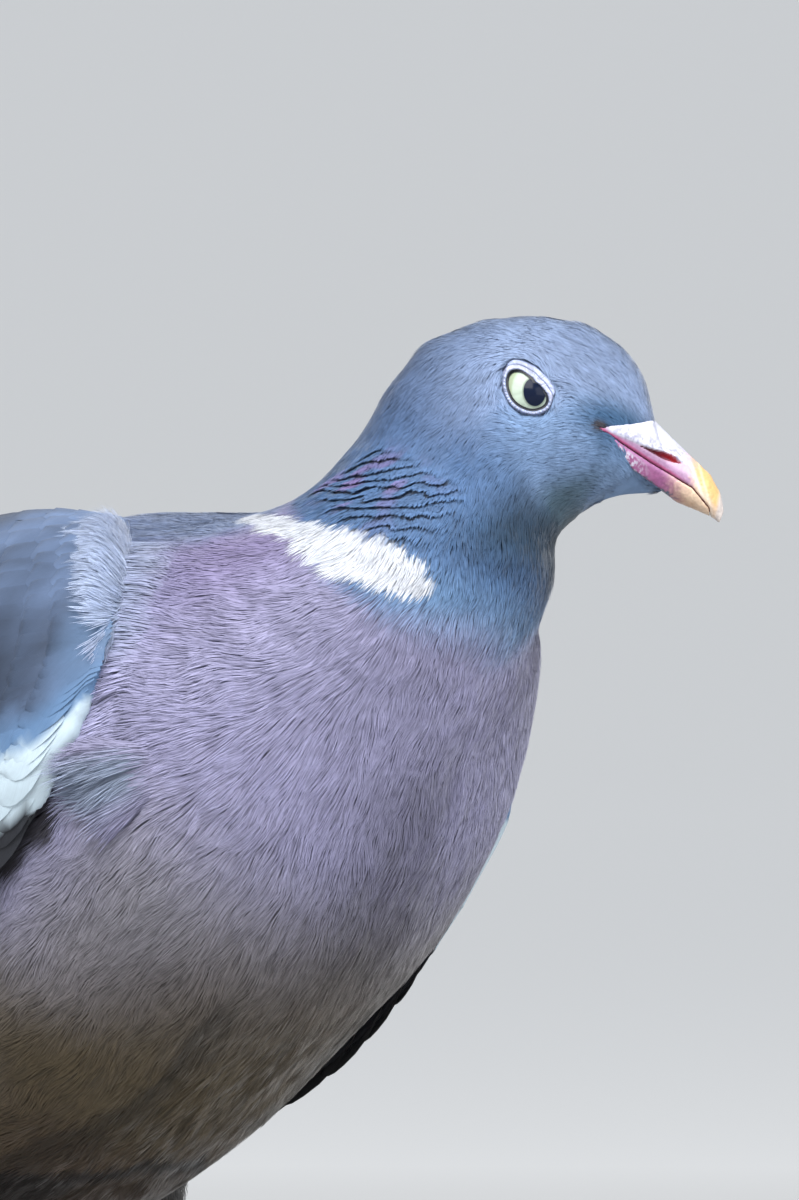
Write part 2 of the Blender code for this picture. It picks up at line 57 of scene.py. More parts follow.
# The turn of the head, as in the solids.
HEAD_TURN = math.radians(42)
NECK_AXIS_X = 55.0
NECK_FOOT = np.array((50.0, 0.0, 168.0))
NECK_LINE = np.array((0.6, 0.0, 0.8))
TURN_STARTS, TURN_ENDS = 4.0, 34.0

# The middle line of the body with the head straight, tail root to bill tip: x, z.
SPINE = (
    (-120, 105), (-93, 104), (-64, 108), (-38, 116), (-12, 128), (9, 138), (27, 147), (40, 158),
    (51, 169), (59, 179), (64, 187), (66, 193), (69, 197), (73, 203), (80, 205.5), (87, 206),
    (98, 203.6), (102, 197.5), (112, 187.5),
)

EYE_PLACE = np.array((78.0, 7.9, 208.4))
SIDES = {"right": -1, "left": 1}
WING_NEAR = 14.0  # a wing closer than this over the skin hides it


# ---- numbers


def step(low, high, x):
    """0 below low, 1 above high and a smooth rise between."""
    t = np.clip((x - low) / (high - low), 0, 1)
    return t * t * (3 - 2 * t)


def hump(x, middle, width):
    """1 at the middle, falling smoothly to nothing about two widths away."""
    return np.exp(-(((x - middle) / width) ** 2))


def noise(points, size, offset=0.0):
    """Smooth random values from -1 to 1, with features of about the size."""
    q = np.asarray(points, float) / size + offset
    cell = np.floor(q).astype(int)
    f = q - cell
    f = f * f * (3 - 2 * f)
    total = 0
    for corner in np.ndindex(2, 2, 2):
        index = (cell + corner) % GRAIN.shape[0]
        weight = np.prod(np.where(corner, f, 1 - f), axis=-1)
        total = total + weight * GRAIN[index[..., 0], index[..., 1], index[..., 2]]
    return total * 1.6


def eased(values, times):
    """Rows with their small steps smoothed away, and the first and last kept."""
    values = values.copy()
    for _ in range(times):
        values[1:-1] = (values[:-2] + 2 * values[1:-1] + values[2:]) / 4
    return values


def unit(vectors):
    """The vectors at length one."""
    return vectors / np.maximum(np.linalg.norm(vectors, axis=-1, keepdims=True), 1e-9)


def dot(a, b):
    """Row by row products, as a column."""
    return np.sum(a * b, axis=-1, keepdims=True)


def mix(a, b, share):
    """Colours or points a, passing to b where share is 1."""
    share = np.asarray(share)[..., None]
    return np.asarray(a) * (1 - share) + np.asarray(b) * share


# ---- places on the body


def spine_line():
    """Points a millimetre apart on the middle line, their directions and their distances."""
    marks = np.array(SPINE, float)
    along = np.concatenate([[0], np.cumsum(np.linalg.norm(np.diff(marks, axis=0), axis=1))])
    at = np.arange(0, along[-1], 1.0)
    points = np.stack([np.interp(at, along, marks[:, i]) for i in (0, 1)], 1)
    points = eased(points, 40)
    steps = np.linalg.norm(np.diff(points, axis=0), axis=1)
    return points, unit(np.gradient(points, axis=0)), np.concatenate([[0], np.cumsum(steps)])


LINE, LINE_WAY, LINE_AT = spine_line()


def turn_at(points):
    """How far the head's turn has carried points given with the head straight."""
    share = np.clip(((points - NECK_FOOT) @ NECK_LINE - TURN_STARTS) / (TURN_ENDS - TURN_STARTS), 0, 1)
    return HEAD_TURN * share * share * (3 - 2 * share)


def turned(points, angle, axis_x=NECK_AXIS_X):
    """Points turned about the neck's upright axis, or directions where axis_x is 0."""
    x, y = points[..., 0] - axis_x, points[..., 1]
    c, s = np.cos(angle), np.sin(angle)
    return np.stack([axis_x + x * c - y * s, x * s + y * c, points[..., 2]], -1)


def straight(points):
    """The same points with the head turned back to the front, and the turn undone."""
    angle = turn_at(points)
    for _ in range(25):
        angle = (angle + turn_at(turned(points, -angle))) / 2
    return turned(points, -angle), angle


def with_head(points):
    """Points given with the head straight, carried round by its turn."""
    return turned(points, turn_at(points))


class Places:
    """Where points lie on the bird: along the middle line, and degrees round it from the back."""

    def __init__(self, points):
        self.real = points
        self.point, self.turn = straight(points)
        x, z = self.point[:, 0], self.point[:, 2]
        nearest = np.empty(len(x), int)
        for start in range(0, len(x), AT_ONCE):
            part = slice(start, start + AT_ONCE)
            gap = (x[part, None] - LINE[:, 0]) ** 2 + (z[part, None] - LINE[:, 1]) ** 2
            nearest[part] = gap.argmin(1)
        near, way = LINE[nearest], LINE_WAY[nearest]
        ahead = (x - near[:, 0]) * way[:, 0] + (z - near[:, 1]) * way[:, 1]
        above = -(x - near[:, 0]) * way[:, 1] + (z - near[:, 1]) * way[:, 0]
        self.along = LINE_AT[nearest] + ahead
        self.around = np.degrees(np.arctan2(np.abs(self.point[:, 1]), above))
        self.side = np.where(self.point[:, 1] < 0, -1, 1)
        self.way = np.stack([way[:, 0], np.zeros(len(x)), way[:, 1]], 1)
        self.sheet = np.stack([self.along, self.side * np.radians(self.around) * 30, self.side * 50.0], 1)

    def uv(self):
        """The unwrap of the skin's own shape: along the body, and round it."""
        return np.stack([0.02 + self.along / 300, 0.5 + self.side * self.around / 372], 1)


# ---- meshes


def triples(items, key, kind=np.float32):
    """One property of a mesh's items, three values for each."""
    values = np.empty(len(items) * 3, kind)
    items.foreach_get(key, values)
    return values.reshape(-1, 3)


def node_mesh(name):
    """A solid's points and triangles, in the bird's own axes."""
    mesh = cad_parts[name].data
    mesh.calc_loop_triangles()
    triangles = triples(mesh.loop_triangles, "vertices", np.int32)
    return triples(mesh.vertices, "co") / MM - SHIFT, triangles


def tree_of(points, triangles):
    """A surface made ready for looking up its nearest place, or where a ray meets it."""
    return BVHTree.FromPolygons(points.tolist(), triangles.tolist())


def link(name, data):
    """A new object in the scene."""
    made = bpy.data.objects.new(name, data)
    bpy.context.scene.collection.objects.link(made)
    return made


def make_piece(name, points, faces, material, colour, bake, vane=None, normals=None):
    """A smooth piece that rides on the bird, with its colour, bake map and feather map by point."""
    points = np.reshape(points, (-1, 3))
    faces = np.asarray(faces, np.int32)
    mesh = bpy.data.meshes.new(name)
    mesh.vertices.add(len(points))
    mesh.vertices.foreach_set("co", ((points + SHIFT) * MM).astype(np.float32).ravel())
    mesh.loops.add(faces.size)
    mesh.loops.foreach_set("vertex_index", faces.ravel())
    mesh.polygons.add(len(faces))
    mesh.polygons.foreach_set("loop_start", np.arange(0, faces.size, faces.shape[1], dtype=np.int32))
    mesh.update(calc_edges=True)
    mesh.shade_smooth()
    if normals is not None:
        mesh.normals_split_custom_set_from_vertices(normals.tolist())
    rgba = np.ones((len(points), 4), np.float32)
    rgba[:, :3] = np.clip(np.reshape(colour, (-1, 3)), 0, 1)
    mesh.attributes.new("plumage", "FLOAT_COLOR", "POINT").data.foreach_set("color", rgba.ravel())
    for map_name, pairs in (("OFBake", bake), ("Vane", vane)):
        if pairs is not None:
            pairs = np.reshape(pairs, (-1, 2)).astype(np.float32)
            mesh.uv_layers.new(name=map_name).data.foreach_set("uv", pairs[faces.ravel()].ravel())
    mesh.materials.append(material)
    piece = link(name, mesh)
    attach(piece, "root")
    return piece


def grown_together(nodes, grow, voxel, smoothing):
    """The solids grown a little, made one closed surface and smoothed: points, quads, normals."""
    work = bmesh.new()
    for node in nodes:
        work.from_mesh(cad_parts[node].data)
    bmesh.ops.remove_doubles(work, verts=work.verts, dist=1e-6)
    bmesh.ops.recalc_face_normals(work, faces=work.faces)
    work.normal_update()
    for vertex in work.verts:
        vertex.co += vertex.normal * grow * MM
    mesh = bpy.data.meshes.new("grown")
    work.to_mesh(mesh)
    work.free()
    lump = link("grown", mesh)
    remesh = lump.modifiers.new("one", "REMESH")
    remesh.mode = "VOXEL"
    remesh.voxel_size = voxel * MM
    smooth = lump.modifiers.new("smooth", "SMOOTH")
    smooth.iterations = smoothing
    smooth.factor = 0.5
    shape = bpy.data.meshes.new_from_object(lump.evaluated_get(bpy.context.evaluated_depsgraph_get()))
    points = triples(shape.vertices, "co").astype(float) / MM - SHIFT
    normals = triples(shape.vertex_normals, "vector").astype(float)
    quads = np.array([polygon.vertices[:] for polygon in shape.polygons], np.int32)
    bpy.data.objects.remove(lump)
    bpy.data.meshes.remove(shape)
    bpy.data.meshes.remove(mesh)
    return points, quads, normals


def both_halves(quads):
    """Quads cut into triangles."""
    return np.concatenate([quads[:, :3], quads[:, [0, 2, 3]]])


def grid_faces(rows, columns, closed=False, count=1):
    """Quads between rows of points, each row a ring where closed, for that many grids in turn."""
    i, j = np.meshgrid(np.arange(rows - 1), np.arange(columns if closed else columns - 1), indexing="ij")
    k = (j + 1) % columns
    quads = np.stack([i * columns + j, i * columns + k, (i + 1) * columns + k, (i + 1) * columns + j], -1)
    return (quads.reshape(-1, 4) + (np.arange(count) * rows * columns)[:, None, None]).reshape(-1, 4)


# ---- materials


class Nodes:
    """A short way to write a material's nodes."""

    def __init__(self, name):
        self.material = bpy.data.materials.new(name)
        self.material.use_nodes = True
        self.tree = self.material.node_tree
        self.shader = self.tree.nodes["Principled BSDF"]

    def add(self, kind, **values):
        """A node of the kind, with its properties or inputs set."""
        node = self.tree.nodes.new("ShaderNode" + kind)
        for key, value in values.items():
            if hasattr(node, key):
                setattr(node, key, value)
            else:
                self.put(node.inputs[key.replace("_", " ")], value)
        return node

    def put(self, socket, value):
        """Sets a socket, or links another node's output to it."""
        if isinstance(value, bpy.types.NodeSocket):
            self.tree.links.new(value, socket)
        else:
            socket.default_value = value

    def set(self, **values):
        """Sets or links the shader's own sockets."""
        for key, value in values.items():
            self.put(self.shader.inputs[key.replace("_", " ")], value)

    def plumage(self):
        """The piece's own colour, point by point."""
        return self.add("Attribute", attribute_name="plumage").outputs["Color"]

    def noise(self, scale, detail, where=None):
        """A noise value in the object's own space, scale in features for each metre."""
        node = self.add("TexNoise", Scale=scale, Detail=detail)
        source = self.add("TexCoord").outputs["Object"] if where is None else where
        self.put(node.inputs["Vector"], source)
        return node.outputs["Fac"]

    def ramp(self, value, low, high, to_low, to_high):
        """A value carried from one range to another."""
        node = self.add("MapRange")
        for socket, number in zip(node.inputs[1:5], (low, high, to_low, to_high)):
            socket.default_value = number
        self.put(node.inputs["Value"], value)
        return node.outputs["Result"]

    def tint(self, colour, value):
        """A colour made lighter or darker by a value about 1."""
        node = self.add("VectorMath", operation="SCALE")
        self.put(node.inputs[0], colour)
        self.put(node.inputs["Scale"], value)
        return node.outputs[0]

    def bump(self, height, depth):
        """A relief that many millimetres deep."""
        node = self.add("Bump", Distance=depth * MM)
        self.put(node.inputs["Height"], height)
        return node.outputs["Normal"]


def coat_material(name, sheen, roughness):
    """Feather barbs: the plumage colour, mottled finely, with a soft sheen."""
    n = Nodes(name)
    mottled = n.tint(n.plumage(), n.ramp(n.noise(420, 3.0), 0.3, 0.7, 0.88, 1.12))
    n.set(Base_Color=mottled, Roughness=roughness, Specular_IOR_Level=0.28)
    n.set(Sheen_Weight=sheen, Sheen_Roughness=0.45)
    return n.material


def vane_material():
    """A feather's vane: barbs slanting from the shaft, which lies along the middle of its map."""
    n = Nodes("feather_vanes")
    colour = n.plumage()
    split = n.add("SeparateXYZ", Vector=n.add("UVMap", uv_map="Vane").outputs["UV"])
    out = n.add("Math", operation="ABSOLUTE")
    n.put(out.inputs[0], split.outputs["X"])
    slant = n.add("Math", operation="MULTIPLY_ADD")
    n.put(slant.inputs[0], out.outputs[0])
    n.put(slant.inputs[1], -1.3)
    n.put(slant.inputs[2], split.outputs["Y"])
    line = n.add("CombineXYZ", X=slant.outputs[0], Y=0.0, Z=0.0)
    barbs = n.noise(2.6, 2.0, line.outputs[0])
    soft = n.ramp(n.noise(260, 2.0), 0.3, 0.7, 0.94, 1.06)
    shade = n.add("Math", operation="MULTIPLY")
    n.put(shade.inputs[0], soft)
    n.put(shade.inputs[1], n.ramp(barbs, 0.25, 0.75, 0.93, 1.07))
    n.set(Base_Color=n.tint(colour, shade.outputs[0]), Roughness=0.55)
    n.set(Specular_IOR_Level=0.3, Sheen_Weight=0.12, Sheen_Roughness=0.4)
    n.set(Normal=n.bump(barbs, 0.05))
    return n.material


# ---- markings

BLUE_GREY = (0.185, 0.25, 0.395)
FACE_BLUE = (0.155, 0.243, 0.405)
NECK_TEAL = (0.155, 0.275, 0.47)
NECK_BLUE = (0.056, 0.118, 0.245)
NECK_PURPLE = (0.15, 0.12, 0.28)
# The throat's blue-grey, darkened with painted shade.
THROAT_SHADED = (0.011, 0.034, 0.068)
WHITE = (0.54, 0.57, 0.63)
PINK = (0.20, 0.175, 0.315)
LILAC = (0.185, 0.20, 0.32)
MAUVE = (0.29, 0.285, 0.445)
TAUPE = (0.25, 0.245, 0.29)
# The belly's brownish tone, darkened with painted shade of the underside.
BELLY_SHADED = (0.080, 0.060, 0.032)
VENT = (0.20, 0.21, 0.24)
MANTLE = (0.14, 0.19, 0.325)
RUMP = (0.17, 0.22, 0.33)
FRINGE = (0.34, 0.41, 0.57)
# The blue-grey under the head and on the chin, darkened with painted shade.
CHIN_SHADED = (0.062, 0.112, 0.158)
# Painted shade in the corner of the gape.
GAPE_SHADE = (0.03, 0.025, 0.03)
WING_SHADE = (0.012, 0.010, 0.010)

PATCH_AROUND = (29, 46, 70, 98, 119)
PATCH_LOW = (190.5, 195.0, 199.3, 201.2, 203.4)
PATCH_HIGH = (193.0, 199.8, 205.3, 206.6, 205.2)
FURROW_APART = 2.5
FURROW_SLANT = 0.26


def patch_share(at):
    """1 inside the white patch on each side of the neck."""
    ragged = noise(at.sheet, 1.3) * 0.45 + noise(at.sheet, 4.0) * 0.5
    low = np.interp(at.around, PATCH_AROUND, PATCH_LOW)
    high = np.interp(at.around, PATCH_AROUND, PATCH_HIGH)
    inside = np.minimum(at.along - low, high - at.along) + ragged
    ends = np.minimum(at.around - PATCH_AROUND[0], PATCH_AROUND[-1] - at.around) * 0.4 + ragged
    return step(-0.25, 0.25, np.minimum(inside, ends))


def furrows(at):
    """The furrows over the white patch, darkened with painted shade: how far down from one to the next,
    and where they are.
    """
    down = (at.along - FURROW_SLANT * at.around + 0.7 * noise(at.sheet, 2.2) - 197.5) / FURROW_APART
    zone = step(204.5, 206.5, at.along) * step(219.5, 216.0, at.along)
    zone = zone * step(30, 40, at.around) * step(104, 90, at.around) * (1 - patch_share(at))
    return down - np.floor(down), zone


def fold_shade(at):
    """Painted shade: the dark crease along the flank, and the hollow in front of the thigh."""
    crease = at.around - np.interp(at.along, (88, 102, 115, 132, 147), (149, 153, 157, 154, 150))
    crease = crease + 1.5 * noise(at.sheet, 9.0)
    shade = step(-1.2, 0.8, crease) * step(13, 1, crease)
    shade = shade * step(84, 92, at.along) * step(152, 138, at.along)
    behind = np.interp(at.around, (150, 158, 167, 174), (85, 94, 101.5, 107)) - at.along
    behind = behind + 0.9 * noise(at.sheet, 3.0)
    hollow = step(-0.8, 1.2, behind) * (1 - 0.7 * step(163, 170, at.around) * step(3.5, 5.5, behind))
    hollow = hollow * step(140, 150, at.around) * step(62, 74, at.along)
    return np.maximum(0.5 * shade, 0.93 * hollow)


def below_wing(points):
    """1 in the deep shade just under the front of a wing's lower edge."""
    dark = np.zeros(len(points))
    places = np.arange(-45, 31, 3.0)
    for side_name, side in SIDES.items():
        wing = node_mesh("wing_" + side_name)[0]
        low = np.array([wing[np.abs(wing[:, 0] - x) < 2][:, 2].min() for x in places])
        under = np.interp(points[:, 0], places, low) - points[:, 2] + 0.8 * noise(points, 3.0)
        reach = np.interp(points[:, 0], (-40, -10, 9, 21, 26), (3, 3, 2.5, 4.5, 3))
        here = step(-3.5, -1.5, under) * step(reach + 2.0, reach - 1.5, under) * step(26, 21, points[:, 0])
        dark = np.maximum(dark, here * (points[:, 1] * side > 20) * step(-45, -30, points[:, 0]))
    return dark


def trunk_colour(along, around):
    """Pink and mauve on the breast, brown darkened with painted shade on the belly, blue-grey on the back,
    with bands of painted shade and light.
    """
    side = mix(PINK, LILAC, step(190, 172, along))
    side = mix(side, MAUVE, step(62, 105, around))
    side = mix(side, TAUPE, step(172, 150, along) * step(85, 122, around))
    side = mix(side, BELLY_SHADED, step(172, 126, along + 0.22 * (180 - around)) * step(95, 145, around))
    # Painted shade: the underside of the belly darker still.
    under = step(120, 100, along) * step(120, 160, around) * step(50, 80, along)
    side = mix(side, np.array(BELLY_SHADED) * (0.58, 0.50, 0.46), under)
    # Painted shade: the front of the breast darker towards its keel.
    keel_shade = step(156, 178, around) * step(142, 156, along) * step(192, 176, along)
    side = side * (1 - 0.40 * keel_shade)[:, None]
    # Painted light: the front of the breast below the neck lightened, where the coat shades itself.
    side = side * (1 + 0.16 * hump(along, 198, 7) * step(150, 168, around))[:, None]
    flank = step(165, 140, along) * step(125, 155, around) * step(98, 122, along)
    side = mix(side, np.array(BELLY_SHADED) * 0.9, 0.6 * flank)
    side = mix(side, VENT, step(60, 30, along))
    back = mix(MANTLE, RUMP, step(120, 60, along))
    body = mix(side, back, step(56, 34, around) * step(215, 190, along))
    body = mix(body, MANTLE, step(100, 62, around) * step(165, 135, along))
    shaded = 0.2 * hump(along, 193, 9) * hump(around, 104, 22)
    lit = 0.13 * hump(along, 169, 14) * hump(around, 126, 20)
    return body * (1 - shaded + lit)[:, None]


def head_colour(at, along, around):
    """Blue-grey; painted shade on nape, chin and gape; darker lore; painted forehead highlight; pale
    flecks behind eye.
    """
    head = mix(BLUE_GREY, FACE_BLUE, step(60, 100, around))
    head = mix(head, CHIN_SHADED, step(120, 155, around) * step(262, 244, along))
    # Painted shade: the nape darker, with a bluer tone there.
    nape = step(238, 220, along) * step(140, 80, around)
    head = head * (1 - nape[:, None] * (0.68, 0.58, 0.46))
    lore = step(243, 250, along) * hump(around, 96, 26)
    head = head * (1 - lore[:, None] * (0.80, 0.64, 0.55))
    # Painted highlight on the forehead and the front of the crown.
    head = head * (1 + 0.35 * step(244, 256, along) * step(80, 50, around))[:, None]
    gap, _ = beyond_opening(at.point)
    flecks = step(6.5, 2.5, gap) * step(0.0, 0.4, noise(at.point, 0.55)) * (at.point[:, 0] > HEAD_ONLY_X)
    head = head * (1 + 0.30 * flecks * step(84, 77, at.point[:, 0]))[:, None]
    # Painted shade in the corner of the gape.
    gape = hump(at.along, 247.4, 1.1) * hump(at.around, 99, 4.5)
    return mix(head, GAPE_SHADE, 0.95 * np.clip(1.5 * gape, 0, 1))


def plumage(at):
    """The colour of the coat at each place."""
    low = noise(at.sheet, 16.0)
    around = at.around + 6 * low
    along = at.along + 2.2 * low
    body = trunk_colour(along, around)
    neck = mix(NECK_BLUE, NECK_TEAL, step(90, 130, around) * step(212, 204, along))
    # Painted shade on the throat and the front of the neck.
    neck = mix(neck, THROAT_SHADED, step(209, 215.5, along) * step(95, 125, around))
    glint = step(205, 209, along) * step(221, 214, along) * hump(around, 58, 22)
    neck = mix(neck, NECK_PURPLE, glint * step(-0.1, 0.5, noise(at.sheet, 3.0)))
    front = step(105, 145, around)
    body = mix(body, neck, step(199.5 - 1.5 * front, 203.5 + 6.0 * front, along + 0.02 * (around - 90)))
    beside = near_wing(at.real)
    body = mix(body, FRINGE, 0.8 * beside * step(158, 168, at.real[:, 2]))
    # Painted light: the coat ahead of the wing's front lightened, where it lies in the wing's shade.
    body = body * (1 + 0.55 * beside * step(166, 158, at.real[:, 2]))[:, None]
    body = mix(body, WING_SHADE, 0.92 * below_wing(at.real))
    body = body * (1 - fold_shade(at))[:, None]
    head = head_colour(at, along, around)
    body = mix(body, head, step(213, 229, along - 0.05 * (around - 90)))
    down, zone = furrows(at)
    # Painted shade in each furrow, and painted light on the raised feathers beside it.
    body = body * (1 - zone * (0.80 * step(0.77, 0.91, down) - 0.30 * step(0.35, 0.05, down)))[:, None]
    return mix(body, WHITE, patch_share(at))


# ---- skin


def coat_depth(at):
    """How far the skin lies under the tips of the coat."""
    depth = 1.5 - 0.4 * step(178, 205, at.along) - 0.4 * step(208, 226, at.along)
    return depth - 0.28 * step(238, 250, at.along)


class Skin:
    """The surface of head, neck, trunk and thighs, and the same surface sunk under the coat."""

    FLESH = ("head", "neck", "trunk", "thigh_left", "thigh_right")
    HORN = ("bill_upper", "bill_lower")
    HORN_COVER = 0.7  # how deep the skin lies inside the bill

    def __init__(self):
        nodes = self.FLESH + ("eye_left", "eye_right") + self.HORN
        self.points, self.quads, self.normals = grown_together(nodes, 0.55, 1.1, 26)
        self.at = Places(self.points)
        depth = coat_depth(self.at) + 0.15 + 1.3 * step(256, 262, self.at.along)
        self.inner = self.behind_eyes(self.points - self.normals * depth[:, None])
        self.sink_in_bill()

    @staticmethod
    def behind_eyes(points):
        """The points, kept behind the eyeballs."""
        sunk, turn = straight(points)
        gap, _ = beyond_opening(sunk)
        deep = (gap < 0.9) & (sunk[:, 0] > HEAD_ONLY_X)
        ball = ball_y(sunk[:, 0], sunk[:, 2]) - 0.9
        sunk[deep, 1] = np.sign(sunk[deep, 1]) * np.minimum(np.abs(sunk[deep, 1]), ball[deep])
        return turned(sunk, turn)

    def sink_in_bill(self):
        """Carries the skin inside the bill, where it would show through its horn."""
        head = tree_of(*node_mesh("head"))
        horns = [tree_of(*node_mesh(name)) for name in self.HORN]
        for i in (self.at.along > 246).nonzero()[0]:
            spot = Vector(self.inner[i])
            for horn in horns:
                place, out, _, far = horn.find_nearest(spot)
                nearer = far < head.find_nearest(spot)[3] + (0.8 if self.at.around[i] < 70 else 0.0)
                if nearer and (spot - place).dot(out) > -self.HORN_COVER:
                    self.inner[i] = place - out * self.HORN_COVER


# ---- coat


def round_eye(point, way):
    """Turns the lie of the feathers round the eye, as water flows round a post."""
    off = (point - EYE_PLACE * (1, 0, 1) - (0.4, 0, 1.8)) * (1, 0, 1)
    far = np.linalg.norm(off, axis=1, keepdims=True)
    out = off / np.maximum(far, 1e-6)
    pull = np.clip(5.4 / np.maximum(far, 5.4), 0, 1) ** 2 * step(15, 8, far)
    pull = pull * (point[:, :1] > HEAD_ONLY_X)
    return unit(way + pull * (way - 2 * dot(way, out) * out))


# Degrees below level that the feathers of the trunk point: rows along the body, columns round it.
LIE_AROUND = (30, 75, 105, 130, 155, 180)
LIE = (
    (20, (14, 12, 8, 4, 0, 0)),
    (60, (12, 14, 16, 12, 8, 5)),
    (90, (10, 22, 28, 24, 18, 15)),
    (115, (6, 25, 40, 36, 33, 30)),
    (140, (3, 18, 43, 44, 45, 45)),
    (160, (2, 9, 24, 31, 44, 58)),
    (175, (3, 5, 10, 23, 46, 70)),
    (190, (10, 12, 14, 30, 58, 84)),
    (200, (30, 30, 32, 52, 78, 88)),
)


def body_lie(at):
    """The way the trunk's feathers point, with the head straight, before they follow the surface."""
    rows = np.array([np.interp(at.around, LIE_AROUND, row) for _, row in LIE])
    marks = [mark for mark, _ in LIE]
    place = np.clip(np.interp(at.along, marks, np.arange(len(marks))), 0, len(marks) - 1.001)
    low = place.astype(int)
    here = np.arange(len(place))
    share = place - low
    fall = np.radians(rows[low, here] * (1 - share) + rows[low + 1, here] * share)
    return np.stack([-np.cos(fall), 0 * fall, -np.sin(fall)], 1)


def flow_at(at, normals):
    """The way the feathers lie: from the bill to the tail along the surface, round each eye."""
    wave = noise(at.point, 8.0) * 0.13 + noise(at.point, 2.6) * 0.09
    way = round_eye(at.point, unit(mix(-at.way, body_lie(at), step(208, 198, at.along))))
    way = turned(way, at.turn, 0.0)
    way = unit(way - normals * dot(way, normals))
    across = np.cross(normals, way)
    return unit(way * np.cos(wave)[:, None] + across * np.sin(wave)[:, None])


def barb_sizes(at):
    """Length, width and number for each square millimetre."""
    neck, head, face = step(188, 204, at.along), step(212, 226, at.along), step(240, 252, at.along)
    length = 6.2 - 2.2 * neck - 1.3 * head - 1.1 * face
    width = 0.20 + 0.01 * neck - 0.04 * head - 0.03 * face
    count = 4.9 + 2.7 * neck + 6.0 * head + 7.0 * face
    return length, width, count


def roots(points, triangles, normals, values, rng, covered):
    """Barb roots spread over the skin by the barb count, and their normals."""
    a, b, c = (points[triangles[:, i]] for i in range(3))
    area = np.linalg.norm(np.cross(b - a, c - a), axis=1) / 2
    count = values[triangles].mean(1) * area * np.where(covered, 0.10, 1.0)
    ends = np.cumsum(count)
    picks = np.searchsorted(ends, np.arange(0.5, ends[-1]))
    u, v = rng.random(len(picks)), rng.random(len(picks))
    flip = u + v > 1
    u, v = np.where(flip, 1 - u, u), np.where(flip, 1 - v, v)
    weights = np.stack([1 - u - v, u, v], 1)[..., None]
    corners = triangles[picks]
    return (points[corners] * weights).sum(1), unit((normals[corners] * weights).sum(1))


def streaks(at, way, offset=0.0):
    """Random values in fine streaks that run with the lie of the feathers."""
    flow = turned(way, -at.turn, 0.0)
    across = unit(np.cross(flow, (0.0, 1.0, 0.0)) + 1e-6)
    slant = np.arctan2(across[:, 2], across[:, 0])
    along = at.point[:, 0] * np.sin(slant) - at.point[:, 2] * np.cos(slant)
    side = at.point[:, 0] * np.cos(slant) + at.point[:, 2] * np.sin(slant)
    upright = step(0.75, 0.95, np.abs(flow[:, 1]))
    side = side * (1 - upright) + at.point[:, 1] * upright
    return noise(np.stack([along / 6.0, side / 0.36, at.point[:, 1] / 3.0], 1), 1.0, offset)


BARB_STEPS = ((0.0, 0.05, 0.7), (0.4, 0.85, 1.0), (0.78, 1.0, 0.62))  # how far out, lift and width
BARB_TRIANGLES = ((0, 3, 1), (0, 2, 3), (2, 5, 3), (2, 4, 5), (4, 6, 5))
BARB_POINTS = 7
BARB_TILTS = (-0.16, 0.16, -0.2, 0.2, -0.16, 0.16, 0.0)
# Brightness along each barb: painted shade towards the root, a faint painted highlight at the tip.
BARB_ROOT_SHADE = (0.8, 0.8, 0.96, 0.96, 1.0, 1.0, 1.05)
BARB_PATCH = ((-1, -1), (1, -1), (-1, -0.2), (1, -0.2), (-1, 0.6), (1, 0.6), (0, 1))
BARBS_A_PIECE = 38000


def ribbons(at, root, normal, way, length, width, depth, rng):
    """Barbs as thin tapering ribbons of two steps and a tip, lifting from the skin and lying back."""
    n = len(root)
    streak = streaks(at, way)
    lift = 0.88 + 0.06 * streak + rng.uniform(-0.04, 0.04, n)
    roll = 0.14 * streaks(at, way, 5.3) + rng.uniform(-0.06, 0.06, n)
    side = np.cross(normal, way)
    flat = side * np.cos(roll)[:, None] + normal * np.sin(roll)[:, None]
    bend = rng.uniform(-0.05, 0.05, n) + 0.18 * noise(at.point, 3.0, 4.7)
    rows = []
    for t, rise, wide in BARB_STEPS:
        spot = root + way * (length * t)[:, None] + side * (bend * length * t * t)[:, None]
        spot = spot + normal * (depth * rise * lift)[:, None]
        half = flat * (width * wide / 2)[:, None]
        rows += [spot - half, spot + half]
    tip = root + way * length[:, None] + side * (bend * length)[:, None]
    rows.append(tip + normal * (depth * lift * 0.97)[:, None])
    points = np.stack(rows, 1).reshape(-1, 3)
    faces = ((np.arange(n) * BARB_POINTS)[:, None, None] + np.array(BARB_TRIANGLES)).reshape(-1, 3)
    soft = 1 - 0.45 * step(214, 228, at.along)[:, None]
    lean = normal + side * soft * (0.27 * streaks(at, way, 5.3) + rng.uniform(-0.07, 0.07, n))[:, None]
    facing = [unit(lean + side * soft * tilt) for tilt in BARB_TILTS]
    return points, faces, np.stack(facing, 1).reshape(-1, 3), streak


def clear_of_eye(at, way, length):
    """Drops or shortens the barbs that would lie over the lids."""
    keep = np.ones(len(length), bool)
    for share in (0.0, 0.45, 1.0):
        reach = at.real + way * (length * share)[:, None]
        point, _ = straight(reach)
        gap, angle = beyond_opening(point)
        inside = (gap < lid_margin(angle)) & (point[:, 0] > HEAD_ONLY_X)
        if share < 1:
            keep &= ~inside
        else:
            length = np.where(inside, length * 0.45, length)
    return keep, length


def wing_edge(points):
    """The front edge of a wing: its x at each height."""
    heights = np.arange(110, 188, 2.0)
    return heights, np.array([points[np.abs(points[:, 2] - z) < 3][:, 0].max() for z in heights])


def near_wing(root):
    """1 on the skin just ahead of a wing's front edge, where the coat laps over the wing."""
    near = np.zeros(len(root))
    for side_name, side in SIDES.items():
        heights, edge = wing_edge(node_mesh("wing_" + side_name)[0])
        ahead = root[:, 0] - np.interp(root[:, 2], heights, edge)
        close = step(9, 1, ahead) * step(-8, -3, ahead) * (root[:, 1] * side > 25)
        near = np.maximum(near, close * step(143, 151, root[:, 2]))
    return near


